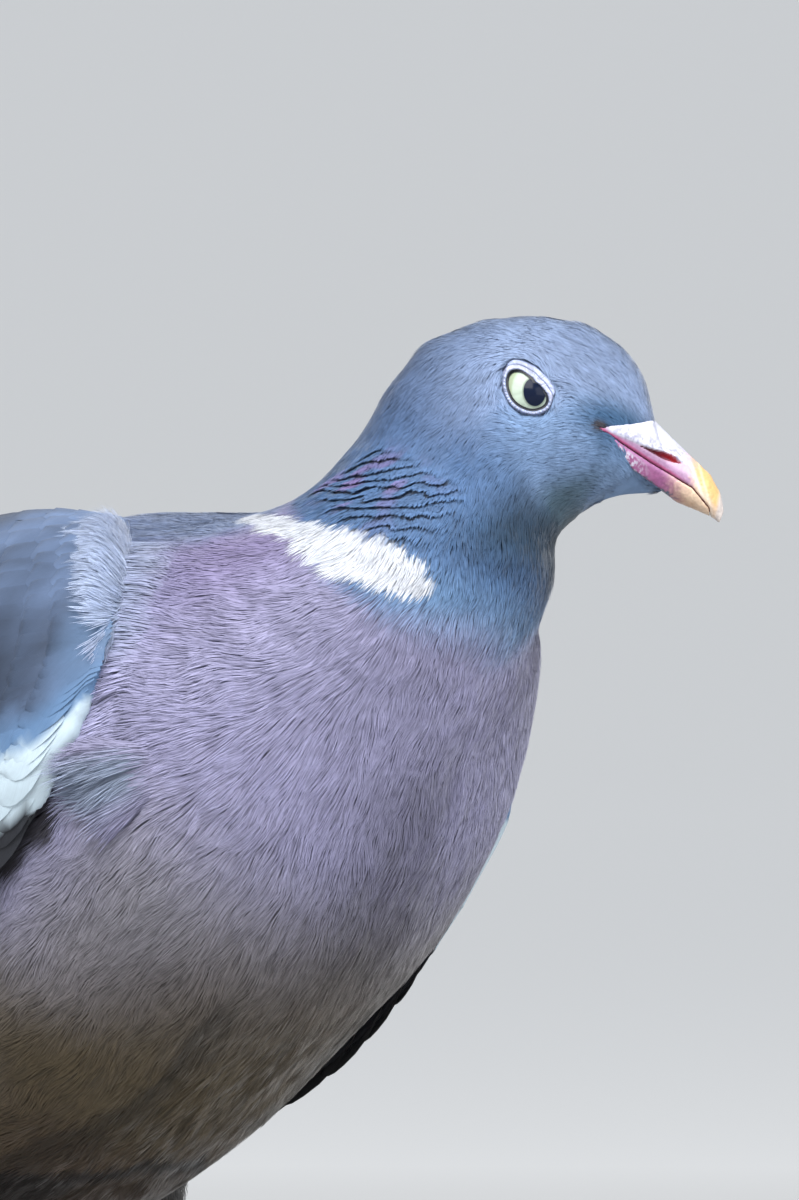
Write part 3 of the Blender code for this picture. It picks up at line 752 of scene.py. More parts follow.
def clear_of_bill(root, at):
    """True for the roots that stand on the head, not on the bill."""
    tree = tree_of(*node_mesh("head"))
    ragged = 0.25 * noise(root, 0.7)
    limit = 260.3 + 3.5 * step(90, 130, at.around)
    clear = np.ones(len(root), bool)
    for i in (at.along > 240).nonzero()[0]:
        far = tree.find_nearest(Vector(root[i]))[3]
        clear[i] = far < 0.75 + ragged[i] and at.along[i] < limit[i]
    return clear


def build_coat(skin, material):
    """The coat of barbs over the whole skin."""
    rng = np.random.default_rng(SEED)
    triangles = both_halves(skin.quads)
    count = barb_sizes(skin.at)[2] * (1 + 1.6 * furrows(skin.at)[1])
    covered = under_wing(skin.points[triangles].mean(1), skin.normals[triangles].mean(1))
    root, normal = roots(skin.inner, triangles, skin.normals, count, rng, covered)
    order = np.argsort(Places(root).along)
    root, normal = root[order], normal[order]
    spot = Places(root)
    length, width, _ = barb_sizes(spot)
    length = length * rng.uniform(0.75, 1.2, len(root))
    width = width * rng.uniform(0.8, 1.25, len(root))
    deep = coat_depth(spot)
    down, zone = furrows(spot)
    length = length * (1 - 0.66 * zone)
    deep = deep * (1 + zone * (0.50 - 0.80 * down))
    way = flow_at(spot, normal)
    near = near_wing(root) * np.where(spot.side > 0, 0.25, 0.8)
    length = length * (1 + 0.5 * near)
    deep = deep * (1 + 1.2 * near)
    out = spot.side * near * (0.45 + 0.6 * step(154, 170, root[:, 2]))
    way = unit(way + np.stack([0 * out, out, 0 * out], 1))
    keep, length = clear_of_eye(spot, way, length)
    keep &= clear_of_bill(root, spot)
    root, normal, way, length, width, deep = (v[keep] for v in (root, normal, way, length, width, deep))
    spot = Places(root)
    lay_barbs("coat", spot, normal, way, length, width, deep, plumage(spot), material, rng)


def lay_barbs(name, at, normal, way, length, width, depth, colour, material, rng):
    """Barbs rooted at the places, in pieces of less than 200,000 triangles."""
    root = at.real
    shape, faces, facing, streak = ribbons(at, root, normal, way, length, width, depth, rng)
    # Lighter and darker streaks at random; the thin bright lines and the extra contrast low on the body
    # are painted light and shade for the barbs' relief.
    contrast = 0.15 - 0.09 * step(212, 226, at.along) + 0.07 * step(165, 135, at.along)
    hair = 1 - np.clip(np.abs(streak) / 0.28, 0, 1)
    contrast = contrast * streak + (0.10 + 0.22 * step(185, 145, at.along)) * (hair - 0.15)
    colour = colour * (1 + contrast + rng.uniform(-0.04, 0.04, len(root)))[:, None]
    colours = (colour[:, None, :] * np.array(BARB_ROOT_SHADE)[:, None]).reshape(-1, 3)
    bake = (at.uv()[:, None, :] + np.array(BARB_PATCH) * BAKE_PATCH).reshape(-1, 2)
    for number, start in enumerate(range(0, len(root), BARBS_A_PIECE)):
        stop = min(start + BARBS_A_PIECE, len(root))
        part = slice(start * BARB_POINTS, stop * BARB_POINTS)
        own = faces[start * len(BARB_TRIANGLES):stop * len(BARB_TRIANGLES)] - part.start
        make_piece(f"{name}_{number + 1}", shape[part], own, material, colours[part], bake[part],
                   normals=facing[part])


def under_wing(points, normals):
    """True where a folded wing lies close over the skin."""
    trees = [tree_of(*node_mesh(name)) for name in ("wing_left", "wing_right")]
    hidden = np.zeros(len(points), bool)
    for i, (point, normal) in enumerate(zip(points, normals)):
        if abs(point[1]) > 8 and -160 < point[0] < 30:
            start, way = Vector(point), Vector(normal)
            hidden[i] = any(tree.ray_cast(start, way, WING_NEAR)[0] is not None for tree in trees)
    return hidden


# ---- wings and tail

WING_BLUE = (0.055, 0.082, 0.142)
WING_SLATE = (0.047, 0.070, 0.12)
WING_PALE = (0.105, 0.20, 0.36)
WING_WHITE = (0.47, 0.58, 0.66)
WING_BROWN = (0.125, 0.13, 0.165)
FLIGHT_DARK = (0.018, 0.020, 0.027)
TAIL_GREY = (0.115, 0.13, 0.165)
TAIL_DARK = (0.025, 0.028, 0.036)
TAIL_PALE = (0.40, 0.43, 0.48)
VANE_STEPS = np.array((0, 0.16, 0.34, 0.52, 0.68, 0.8, 0.89, 0.96, 1.0))
VANE_ACROSS = np.array((-1, -0.55, 0, 0.55, 1.0))


class WingSheet:
    """The outer face of a folded wing, opened flat: x along the bird, share from its top edge down."""

    def __init__(self, side_name):
        self.side = SIDES[side_name]
        trees = [tree_of(*node_mesh(kind + side_name)) for kind in ("wing_", "primaries_")]
        self.x = np.arange(-188.0, 34.0, 3.0)
        self.angle = np.radians(np.arange(-6.0, 140.0, 2.0))
        radius = np.full((len(self.x), len(self.angle)), np.nan)
        for i, x in enumerate(self.x):
            for j, a in enumerate(self.angle):
                out = Vector((0, self.side * math.sin(a), math.cos(a)))
                start = Vector((x, 0, self.axis_z(x))) + out * 120
                hits = [tree.ray_cast(start, -out) for tree in trees]
                far = [120 - hit[3] for hit in hits if hit[0] is not None]
                if far and max(far) > 5:
                    radius[i, j] = max(far)
        seen = ~np.isnan(radius)
        whole = seen.sum(1) > 3
        first, last = seen.argmax(1), seen.shape[1] - 1 - seen[:, ::-1].argmax(1)
        here = np.arange(len(self.x))
        self.top = eased(np.interp(here, here[whole], self.angle[first[whole]]), 6)
        self.low = eased(np.interp(here, here[whole], self.angle[last[whole]]), 6)
        for i in here[whole]:
            got = seen[i].nonzero()[0]
            radius[i] = np.interp(np.arange(radius.shape[1]), got, radius[i, got])
        for j in range(radius.shape[1]):
            radius[:, j] = np.interp(here, here[whole], radius[whole, j])
        for _ in range(3):
            radius = eased(eased(radius, 1).T, 1).T
        self.radius = radius
        self.low_z = self.spot(self.x, self.low, 0.0)[:, 2]

    @staticmethod
    def axis_z(x):
        """The height of the line that the wing folds round."""
        return np.interp(x, (-246, -120, -60, 0, 30), (75, 105, 110, 130, 140))

    def angle_of(self, x, share):
        """Degrees round from the back, in radians, of a share of the way down the wing."""
        top, low = np.interp(x, self.x, self.top), np.interp(x, self.x, self.low)
        return top + (low - top) * share

    def radius_at(self, x, angle):
        """The wing's distance from the line that it folds round."""
        i = np.clip((x - self.x[0]) / 3.0, 0, len(self.x) - 1.001)
        j = np.clip((angle - self.angle[0]) / math.radians(2), 0, len(self.angle) - 1.001)
        i0, j0 = i.astype(int), j.astype(int)
        u, v = i - i0, j - j0
        r = self.radius
        near = r[i0, j0] * (1 - u) * (1 - v) + r[i0 + 1, j0] * u * (1 - v)
        return near + r[i0, j0 + 1] * (1 - u) * v + r[i0 + 1, j0 + 1] * u * v

    def spot(self, x, angle, lift):
        """A point over the wing's outer face."""
        radius = self.radius_at(x, angle) + lift
        y = self.side * radius * np.sin(angle)
        return np.stack([x, y, self.axis_z(x) + radius * np.cos(angle)], -1)


def vane_piece(name, parts, material):
    """Feathers as one piece. parts: their points, colours, feather maps and bake places."""
    points, colours, maps, bakes = (
        np.concatenate([grid.reshape(-1, grid.shape[-1]) for grid in grids]) for grids in zip(*parts)
    )
    steps, across = len(VANE_STEPS), len(VANE_ACROSS)
    faces = grid_faces(steps, across, count=len(points) // (steps * across))
    return make_piece(name, points, faces, material, colours, bakes, maps)


def vane_outline(t, pointed):
    """A feather's half width along its length, 1 at the widest."""
    swell = 0.42 + 0.58 * step(0.0, 0.5, t)
    blunt = np.sqrt(np.clip(1 - np.clip((t - 0.66) / 0.345, 0, 1) ** 2.4, 0, 1))
    sharp = 1 - np.clip((t - 0.45) / 0.56, 0, 1) ** 2.0
    return swell * (blunt * (1 - pointed) + sharp * pointed)


class Vanes:
    """Many feathers laid on a wing as thin cambered vanes, gathered into one piece."""

    def __init__(self, sheet):
        self.sheet = sheet
        self.parts = []
        self.rng = np.random.default_rng(SEED + 7)

    def row(self, x, share, x_end, share_end, width, paint, lift, rise, pointed=0.0):
        """Feathers from (x, share) to (x_end, share_end); each argument may be a list, one for each."""
        given = np.broadcast_arrays(x, share, x_end, share_end, width, lift, pointed)
        x0, c0, x1, c1, wide, base, sharp = (np.asarray(g, float)[:, None, None] for g in given)
        t, v = VANE_STEPS[None, :, None], VANE_ACROSS[None, None, :]
        px = x0 + (x1 - x0) * t + 0 * v
        share_at = c0 + (c1 - c0) * t + 0 * v
        angle = self.sheet.angle_of(px, share_at)
        radius = np.maximum(self.sheet.radius_at(px, angle), 10)
        half = wide / 2 * vane_outline(t, sharp)
        ahead = np.arctan2(np.gradient(angle, axis=1) * radius, -np.gradient(px, axis=1))
        offset = half * v
        px = px + offset * np.sin(ahead)
        angle = angle + offset * np.cos(ahead) / radius
        up = base + rise * t + 0.35 * (1 - v * v) + 0.35 * v * half / 6 + 0.18 * (1 - np.abs(v)) ** 3
        grown = np.clip(t * np.abs(x1 - x0) / 14, 0, 1)
        sink = 2.2 * (1 - grown) ** 4 + 1.1 * step(0.86, 1.0, share_at) * step(-40, -15, px)
        place = self.sheet.spot(px, angle, up - 0.9 - sink)
        tint = 1 + self.rng.uniform(-0.03, 0.03, len(px))[:, None, None, None]
        t, v = t + 0 * px, v + 0 * px
        colours = paint(t, v, place, share_at) * tint
        maps = np.stack([v * (wide / 2), t * np.abs(x1 - x0)], -1)
        root_u, root_v = 0.1 + (x0 + 190) / 300, 0.15 + 0.7 * c0
        bakes = np.stack([root_u + (t - 0.5) * BAKE_PATCH * 2, root_v + v * BAKE_PATCH], -1)
        self.parts.append((place, colours, maps, bakes))


def plain_paint(root, tip, edge, edge_from=0.8):
    """A feather darker at its root, with a paler or darker edge."""

    def paint(t, v, place, share):
        colour = mix(root, tip, step(0.1, 0.75, t))
        rim = np.maximum(step(edge_from, 1.0, np.abs(v)), step(0.88, 1.0, t))
        shaft = hump(v, 0.0, 0.12)
        return mix(colour, edge, rim * 0.6) * (1 - 0.12 * shaft)[..., None]

    return paint


def wing_paint(sheet, root, tip, edge):
    """A covert's colours: blue-grey, browner towards the back, white along the front lower edge."""
    plain = plain_paint(root, tip, edge)

    def paint(t, v, place, share):
        return wing_marks(sheet, plain(t, v, place, share), place, share)

    return paint


def wing_marks(sheet, colour, place, share):
    """The closed wing's markings over a colour: soft mottles, brown, pale blue, white and black, with
    painted light on its upper front.
    """
    x, height = place[..., 0], place[..., 2] - np.interp(place[..., 0], sheet.x, sheet.low_z)
    ragged = 0.5 * noise(place, 3.0)
    upper = np.interp(x, (-60, -30, 0, 12, 16, 20, 24, 28), (18, 21, 19, 13.5, 10.5, 7, 4.5, 3.0)) + ragged
    lower = np.interp(x, (-60, -30, 0, 10, 16, 20), (18, 14, 7, 3.2, 0.4, -6)) + ragged
    mottle = 1 + 0.32 * noise(place, 8.0, 3.0) + 0.16 * noise(place * (0.7, 1, 1.4), 2.8)
    # Painted light: the upper front of the wing lighter.
    top = step(0.35, 0.0, share) * step(-20, 10, x)
    lobe = step(upper + 6, upper + 9, height) * step(upper + 28, upper + 14, height) * step(25, 16, x)
    mottle = mottle * (1 + 1.1 * top) * (1 - 0.34 * lobe)
    brown = step(-30, -110, x) * step(0.75, 0.2, share)
    colour = mix(colour, WING_BROWN, 0.5 * brown) * mottle[..., None]
    pale = np.maximum(step(upper + 9, upper + 2, height), 0.5 * step(19, 28, x)) * step(-40, 0, x)
    colour = mix(colour, WING_PALE, 0.85 * pale)
    covert = step(-85, -68, x)
    colour = mix(colour, WING_WHITE, step(upper + 1.0, upper - 0.6, height) * covert)
    return mix(colour, FLIGHT_DARK, step(lower + 0.3, lower - 0.3, height) * covert)


def spread(start, stop, count, rng, jitter):
    """Even values with a little disorder."""
    gap = (stop - start) / max(count - 1, 1)
    return np.linspace(start, stop, count) + rng.uniform(-jitter, jitter, count) * gap


def front_of(share):
    """The x of the wing's front edge at a share of the way down it."""
    return 29 - 19 * np.abs(2 * np.asarray(share) - 1.05) ** 2.2


# The rows of median and lesser coverts: how far behind the front edge, length, width and number.
COVERT_ROWS = (
    (24, 25, 14, 18), (16, 20, 12.5, 20), (9.5, 16, 11, 22), (4.5, 13, 9.5, 25), (0.5, 10.5, 8.5, 28),
)


def build_wing(side_name, material):
    """A folded wing's feathers in their rows, from the primaries up to the smallest coverts."""
    sheet = WingSheet(side_name)
    vanes = Vanes(sheet)
    rng = vanes.rng
    flight = plain_paint(FLIGHT_DARK, np.array(FLIGHT_DARK) * 1.4, (0.11, 0.12, 0.13), 0.93)
    second = plain_paint((0.085, 0.095, 0.125), (0.06, 0.066, 0.085), (0.09, 0.10, 0.12))
    tertial = wing_paint(sheet, WING_BROWN, (0.13, 0.14, 0.185), (0.15, 0.16, 0.20))
    k = np.arange(8)
    vanes.row(-12 - 9 * k, 0.97 - 0.012 * k, -186 + 11 * k[::-1], 0.98 - 0.1 * k[::-1] / 7, 12.5, flight,
              0.0 + 0.06 * k, 0.5, 0.75)
    k = np.arange(6)
    vanes.row(-60 - 7 * k, 0.80 - 0.06 * k, -170 + 9 * k, 0.55 - 0.06 * k, 13, flight, 0.4, 0.5, 0.6)
    k = np.arange(10)
    vanes.row(-18 - 2.6 * k, 0.90 - 0.055 * k, -118 - 4 * k, 0.86 - 0.075 * k, 15, second, 0.6, 0.7, 0.1)
    k = np.arange(7)
    vanes.row(-18 - 5 * k, 0.44 - 0.06 * k, -112 - 7.5 * k, 0.36 - 0.055 * k, 18, tertial, 1.0, 0.8, 0.15)
    greater = wing_paint(sheet, WING_SLATE, WING_BLUE, np.array(WING_BLUE) * 1.15)
    share = spread(0.97, 0.04, 17, rng, 0.15)
    x = front_of(share) - 34 - 12 * (1 - share)
    vanes.row(x, share, x - 33, share + 0.02, 15, greater, 1.0, 0.8)
    median = wing_paint(sheet, WING_BLUE, WING_BLUE, np.array(WING_BLUE) * 0.95)
    for number, (back, length, width, count) in enumerate(COVERT_ROWS):
        share = spread(0.985, 0.015, count, rng, 0.25)
        x = front_of(share) - back * (1 + 0.2 * (1 - share)) + 2.5
        end = share + 0.035 - 0.02 * share
        vanes.row(x, share, x - length, end, width, median, 1.05 + 0.05 * number, 0.30)
    return vane_piece("wing_feathers_" + side_name, vanes.parts, material), sheet


# Degrees below level that the fringe over the wing's front edge points, by height.
FRINGE_Z = (120, 150, 160, 170, 186)
FRINGE_FALL = (60, 50, 46, 26, 2)


def wing_front(side_name, sheet, material):
    """The smooth round front of the folded wing: its points, triangles and normals."""
    points, quads, normals = grown_together(("wing_" + side_name,), 0.05, 1.05, 7)
    front = points[quads].mean(1)[:, 0] > -24
    share = np.clip((points[:, 2] - 190) / -70, 0, 1)
    colour = wing_marks(sheet, WING_BLUE, points, share)
    used, quads = np.unique(quads[front], return_inverse=True)
    quads = quads.reshape(-1, 4)
    points, normals, colour = points[used], normals[used], colour[used]
    bake = 0.1 + (points[:, [0, 2]] + (60, -90)) / 400
    make_piece("wing_front_" + side_name, points, quads, material, colour, bake, points[:, [0, 2]])
    return points, both_halves(quads), normals


def wing_fringe(side_name, sheet, front, material):
    """The loose fringe that laps over the front of the wing, only high up on the far one."""
    side = SIDES[side_name]
    points, triangles, normals = front
    rng = np.random.default_rng(SEED + 3)
    heights, edge = wing_edge(points)
    behind = np.interp(points[:, 2], heights, edge) - points[:, 0]
    out = side * normals[:, 1]
    low = np.interp(28.0, sheet.x, sheet.low_z)
    raised = points[:, 2] - low
    reach = np.interp(raised, (0, 8, 18, 26, 34), (-1.5, -0.5, 1.0, 4.0, 9.0)) + 0.8 * noise(points, 3.0)
    high = step(reach + 1.2, reach - 0.6, behind) * step(-0.7, -0.3, out) * step(9, 18, raised)
    if side > 0:
        high = high * step(26, 34, raised)
    count = 15.0 * step(0.25, 0.5, high)
    root, normal = roots(points, triangles, normals, count, rng, np.zeros(len(triangles), bool))
    z = root[:, 2] - low + 152.0
    fall = np.radians(np.interp(z, FRINGE_Z, FRINGE_FALL)) + 0.12 * noise(root, 4.0)
    way = unit(np.stack([-np.cos(fall), np.full(len(z), 0.45 * side), -np.sin(fall)], 1))
    way = unit(way - normal * dot(way, normal))
    at = Places(root)
    high = step(158, 170, z)
    length = (2.4 + 2.4 * high) * rng.uniform(0.6, 1.2, len(z))
    width = rng.uniform(0.11, 0.17, len(z))
    colour = mix(mix(LILAC, MAUVE, step(165, 140, z)), FRINGE, high)
    depth = 0.6 + 0.2 * high
    lay_barbs("fringe_" + side_name, at, normal, way, length, width, depth, colour, material, rng)


# The loose side feathers over the lower front edge of the wing: x, z of their roots and tips.
TUFT_ROOTS = ((36.5, 147.5), (40.5, 145.5), (41.5, 142.5), (39.5, 138.5))
TUFT_TIPS = ((26.0, 147.0), (21.0, 142.5), (21.5, 135.5), (29.5, 128.5))


def side_tuft(side_name, sheet, skin, material):
    """A fan of long loose barbs from the side of the breast back over the wing's lower edge."""
    side = SIDES[side_name]
    rng = np.random.default_rng(SEED + 4)
    n = 5200
    u, start = rng.random(n), rng.random(n) ** 1.3
    drop = np.interp(20.0, sheet.x, sheet.low_z) - 140.0
    over = (tree_of(skin.points, both_halves(skin.quads)), tree_of(*node_mesh("wing_" + side_name)))
    places = np.linspace(0, 1, len(TUFT_ROOTS))
    ends = []
    for line, above in ((TUFT_ROOTS, -1.3), (TUFT_TIPS, -0.2)):
        x, z = (np.interp(u, places, column) for column in np.array(line).T)
        z = z + drop
        y = np.full(n, -200.0)
        for i in range(n):
            for tree in over:
                hit = tree.ray_cast(Vector((x[i], side * 90, z[i])), Vector((0, -side, 0)))[0]
                y[i] = max(y[i], side * hit[1]) if hit else y[i]
        y = np.where(y < 0, y.max(), y)
        ends.append(np.stack([x, side * (y + above), z], 1))
    way = ends[1] - ends[0]
    start = start + rng.uniform(-0.10, 0.10, n) * step(1.0, 0.7, u)
    root = ends[0] + way * (0.45 * start)[:, None] + np.array((0, side, 0)) * (0.6 * start)[:, None]
    far = np.linalg.norm(way, axis=1)
    way = unit(unit(way) + rng.normal(0, 0.04, (n, 3)) * (1, 0.3, 1))
    out = np.broadcast_to((0.15, side * 1.0, 0.35), way.shape)
    normal = unit(out - way * dot(out, way))
    at = Places(root)
    length = far * rng.uniform(0.35, 0.68, n) * (1 - 0.25 * (rng.random(n) < 0.5))
    tone = mix(np.array(MAUVE) * 0.75, np.array(FRINGE) * 0.7, step(0.05, 0.4, u) * step(1.0, 0.6, u))
    tone = mix(tone, np.array(MAUVE) * 0.8, step(0.16, 0.0, start))
    width = rng.uniform(0.16, 0.26, n)
    depth = rng.uniform(1.3, 1.9, n)
    lay_barbs("tuft_" + side_name, at, normal, way, length, width, depth, tone, material, rng)


def wing_bed(side_name, material):
    """The dark body of the folded wing, just inside its feathers."""
    shapes, total, faces = [], 0, []
    for kind in ("wing_", "primaries_"):
        points, triangles = node_mesh(kind + side_name)
        normals = point_normals(points, triangles)
        shapes.append(points - normals * 0.75)
        faces.append(triangles + total)
        total += len(points)
    points = np.concatenate(shapes)
    bake = np.stack([0.1 + (points[:, 0] + 190) / 300, (points[:, 2] - 50) / 200], 1)
    make_piece("wing_bed_" + side_name, points, np.concatenate(faces), material, FLIGHT_DARK,
               bake, points[:, [0, 2]])


def point_normals(points, triangles):
    """Smooth normals, the same for points that share a place."""
    a, b, c = (points[triangles[:, i]] for i in range(3))
    normal = np.cross(b - a, c - a)
    _, same = np.unique(np.round(points, 2), axis=0, return_inverse=True)
    same = same.ravel()
    total = np.zeros((same.max() + 1, 3))
    for i in range(3):
        np.add.at(total, same[triangles[:, i]], normal)
    return unit(total[same])


def tail_half(x):
    """Half the tail's width at x."""
    return float(np.interp(x, (-246, -184, -127, -114), (26.0, 24.5, 20.5, 19.0)))


def tail_height(tree, x, y, face):
    """The height of the tail's upper or lower face at grid points, held inside its edge."""
    z = np.empty(x.shape)
    for index in np.ndindex(x.shape):
        here = np.clip(x[index], -245.5, -116)
        edge = tail_half(here) - 0.6
        spot = Vector((here, np.clip(y[index], -edge, edge), face * 200.0))
        hit = tree.ray_cast(spot, Vector((0, 0, -face)))[0]
        z[index] = hit[2] if hit else np.nan
    return np.where(np.isnan(z), np.nanmean(z, axis=1, keepdims=True), z)


def tail_feather(tree, face, k, side):
    """One tail feather, the k-th from the middle: points, colours, feather map and bake places."""
    t, v = np.meshgrid(VANE_STEPS, VANE_ACROSS, indexing="ij")
    x = -118 - (127.5 * (1 - 0.012 * k)) * t
    half = 11.5 * vane_outline(t, 0.0) * (0.72 + 0.28 * t)
    y = side * k * (1.4 + 1.35 * t) * 1.05 + half * v
    lift = -0.5 + (6 - k) * 0.14 + 0.25 * (1 - v * v) + 0.25 * t
    points = np.stack([x, y, tail_height(tree, x, y, face) + face * lift], -1)
    dark = step(-196, -206, x) if face > 0 else step(-212, -220, x)
    grey = mix(TAIL_GREY, TAIL_PALE, step(-170, -190, x) * (face < 0))
    colours = mix(grey, TAIL_DARK, dark) * (1 - 0.1 * hump(v, 0, 0.1))[..., None]
    root_u, root_v = 0.5 + 0.03 * k * side, 0.25 if face > 0 else 0.75
    bakes = np.stack([root_u + BAKE_PATCH * v, root_v + 2 * BAKE_PATCH * (t - 0.5)], -1)
    return points, colours, np.stack([half * v, t * 127], -1), bakes


def build_tail(material):
    """The closed tail, dark at the end: its feathers over and under, and the bed between them."""
    points, triangles = node_mesh("tail")
    tree = tree_of(points, triangles)
    parts = []
    for face in (1, -1):
        for k in (5.5, 4.5, 3.5, 2.5, 1.5, 0.5, 0.0):
            for side in ((-1, 1) if k else (1,)):
                parts.append(tail_feather(tree, face, k, side))
    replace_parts(vane_piece("tail_feathers", parts, material), "tail")
    bed = points - point_normals(points, triangles) * 0.5
    grey = mix(np.array(VENT) * 0.65, TAIL_DARK, step(-190, -204, bed[:, 0]))
    bake = np.stack([(bed[:, 0] + 250) / 140, (bed[:, 1] + 30) / 60], 1)
    make_piece("tail_bed", bed, triangles, material, grey, bake, bed[:, :2])


# ---- eyes and lids

EYE_RADIUS = 6.4
PUPIL_AHEAD, PUPIL_ABOVE, PUPIL_RADIUS = 1.42, 1.0, 2.2
OPENING_CENTRE = (0.1, 1.2)  # ahead of and above the middle of the ball
# The opening between the lids: radii at degrees up from straight ahead. The brow cuts it slantwise.
OPENING = (
    (-180, 3.55), (-165, 3.4), (-135, 3.25), (-104, 3.34), (-80, 3.75), (-54, 4.15), (-35, 4.45),
    (-18, 3.9), (4, 2.75), (45, 2.0), (90, 2.8), (107, 3.75), (122, 4.4), (135, 4.75), (150, 4.25),
    (173, 3.75), (180, 3.55),
)
PUPIL = (0.006, 0.010, 0.026)
IRIS = (0.38, 0.46, 0.385)
LID_WHITE = (0.40, 0.43, 0.60)
LID_GREY = (0.26, 0.32, 0.50)
LID_BLACK = (0.010, 0.012, 0.018)


def opening_radius(angle):
    """The half width of the eye's opening at an angle, in radians, up from straight ahead."""
    degrees, radii = np.array(OPENING).T
    turns = np.concatenate([degrees - 360, degrees, degrees + 360])
    about = np.degrees(angle)[..., None] + np.array((-10, -5, 0, 5, 10))
    return np.interp(about, turns, np.tile(radii, 3)).mean(-1)


def beyond_opening(point):
    """How far points, given with the head straight, lie outside the eye's opening."""
    ahead = point[..., 0] - EYE_PLACE[0] - OPENING_CENTRE[0]
    above = point[..., 2] - EYE_PLACE[2] - OPENING_CENTRE[1]
    angle = np.arctan2(above, ahead)
    return np.hypot(ahead, above) - opening_radius(angle), angle


def upper_share(angle, low, high, soft):
    """1 along the upper lid, 0 along the lower one."""
    degrees = np.degrees(angle)
    degrees = np.where(degrees < -90, degrees + 360, degrees)
    return step(low, low + soft, degrees) * step(high, high - soft, degrees)


def ball_y(x, z):
    """How far from the middle of the head the eyeball's face lies."""
    apart = (x - EYE_PLACE[0]) ** 2 + (z - EYE_PLACE[2]) ** 2
    return EYE_PLACE[1] + np.sqrt(np.clip(EYE_RADIUS**2 - apart, 0, None))


def lid_margin(angle):
    """How far the bare lids reach from the opening."""
    return 0.55 + 1.35 * upper_share(angle, -25, 140, 30)


def build_eye(side_name, material):
    """An eyeball with a slightly bulging cornea, its iris and pupil."""
    side = SIDES[side_name]
    out = math.sqrt(EYE_RADIUS**2 - PUPIL_AHEAD**2 - PUPIL_ABOVE**2)
    gaze = np.array((PUPIL_AHEAD, side * out, PUPIL_ABOVE)) / EYE_RADIUS
    right = unit(np.cross(gaze, (0, 0, 1)))
    up = np.cross(right, gaze)
    polar = np.concatenate([np.linspace(0, 1.25, 110), np.linspace(1.3, math.pi, 12)])
    turn = np.linspace(0, math.tau, 73)[:-1]
    t, a = np.meshgrid(polar, turn, indexing="ij")
    ring = np.sin(t)[..., None] * (np.cos(a)[..., None] * right + np.sin(a)[..., None] * up)
    bulge = 0.28 * step(0.62, 0.0, t)
    way = ring + np.cos(t)[..., None] * gaze
    points = EYE_PLACE * (1, side, 1) + (EYE_RADIUS - 0.15 + bulge)[..., None] * way
    radial = EYE_RADIUS * np.sin(t) * np.hypot(np.cos(a) * 1.08, np.sin(a) * 0.86)
    fibre = noise(np.stack([np.cos(a) * 9, np.sin(a) * 9, radial * 0.6], -1), 1.0)
    iris = np.asarray(IRIS) * (1 + 0.10 * fibre + 0.10 * step(2.2, 3.6, radial))[..., None]
    iris = mix(iris, (0.30, 0.36, 0.25), step(4.0, 4.5, radial))
    iris = mix(iris, np.asarray(IRIS) * 0.55, hump(radial, PUPIL_RADIUS + 0.12, 0.13))
    colour = mix(PUPIL, iris, step(PUPIL_RADIUS - 0.06, PUPIL_RADIUS + 0.08, radial))
    colour = mix(colour, LID_BLACK, step(4.9, 5.3, radial) + (t > 1.4))
    faces = grid_faces(len(polar), len(turn), True)
    bake = np.stack([0.5 + t * np.cos(a) / 7, 0.5 + t * np.sin(a) / 7], -1)
    eye = make_piece("eyeball_" + side_name, with_head(points), faces, material, colour, bake)
    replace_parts(eye, "eye_" + side_name)


class HeadSurface:
    """The outer face of the head, looked up from the side with the head straight."""

    def __init__(self, points, quads):
        point, _ = straight(points)
        triangles = both_halves(quads)
        near = np.all(np.abs(point[triangles].mean(1) - EYE_PLACE * (1, 0, 1)) < (26, 30, 22), axis=1)
        self.tree = tree_of(point, triangles[near])

    def y(self, x, z, side):
        """The distance of the surface from the middle of the head."""
        out = np.empty(x.shape)
        for index in np.ndindex(x.shape):
            hit = self.tree.ray_cast(Vector((x[index], side * 60, z[index])), Vector((0, -side, 0)))[0]
            out[index] = abs(hit[1]) if hit else 10.0
        return out


def roll(x, middle, half):
    """A rounded ridge across x."""
    return np.sqrt(np.clip(1 - ((x - middle) / half) ** 2, 0, 1))


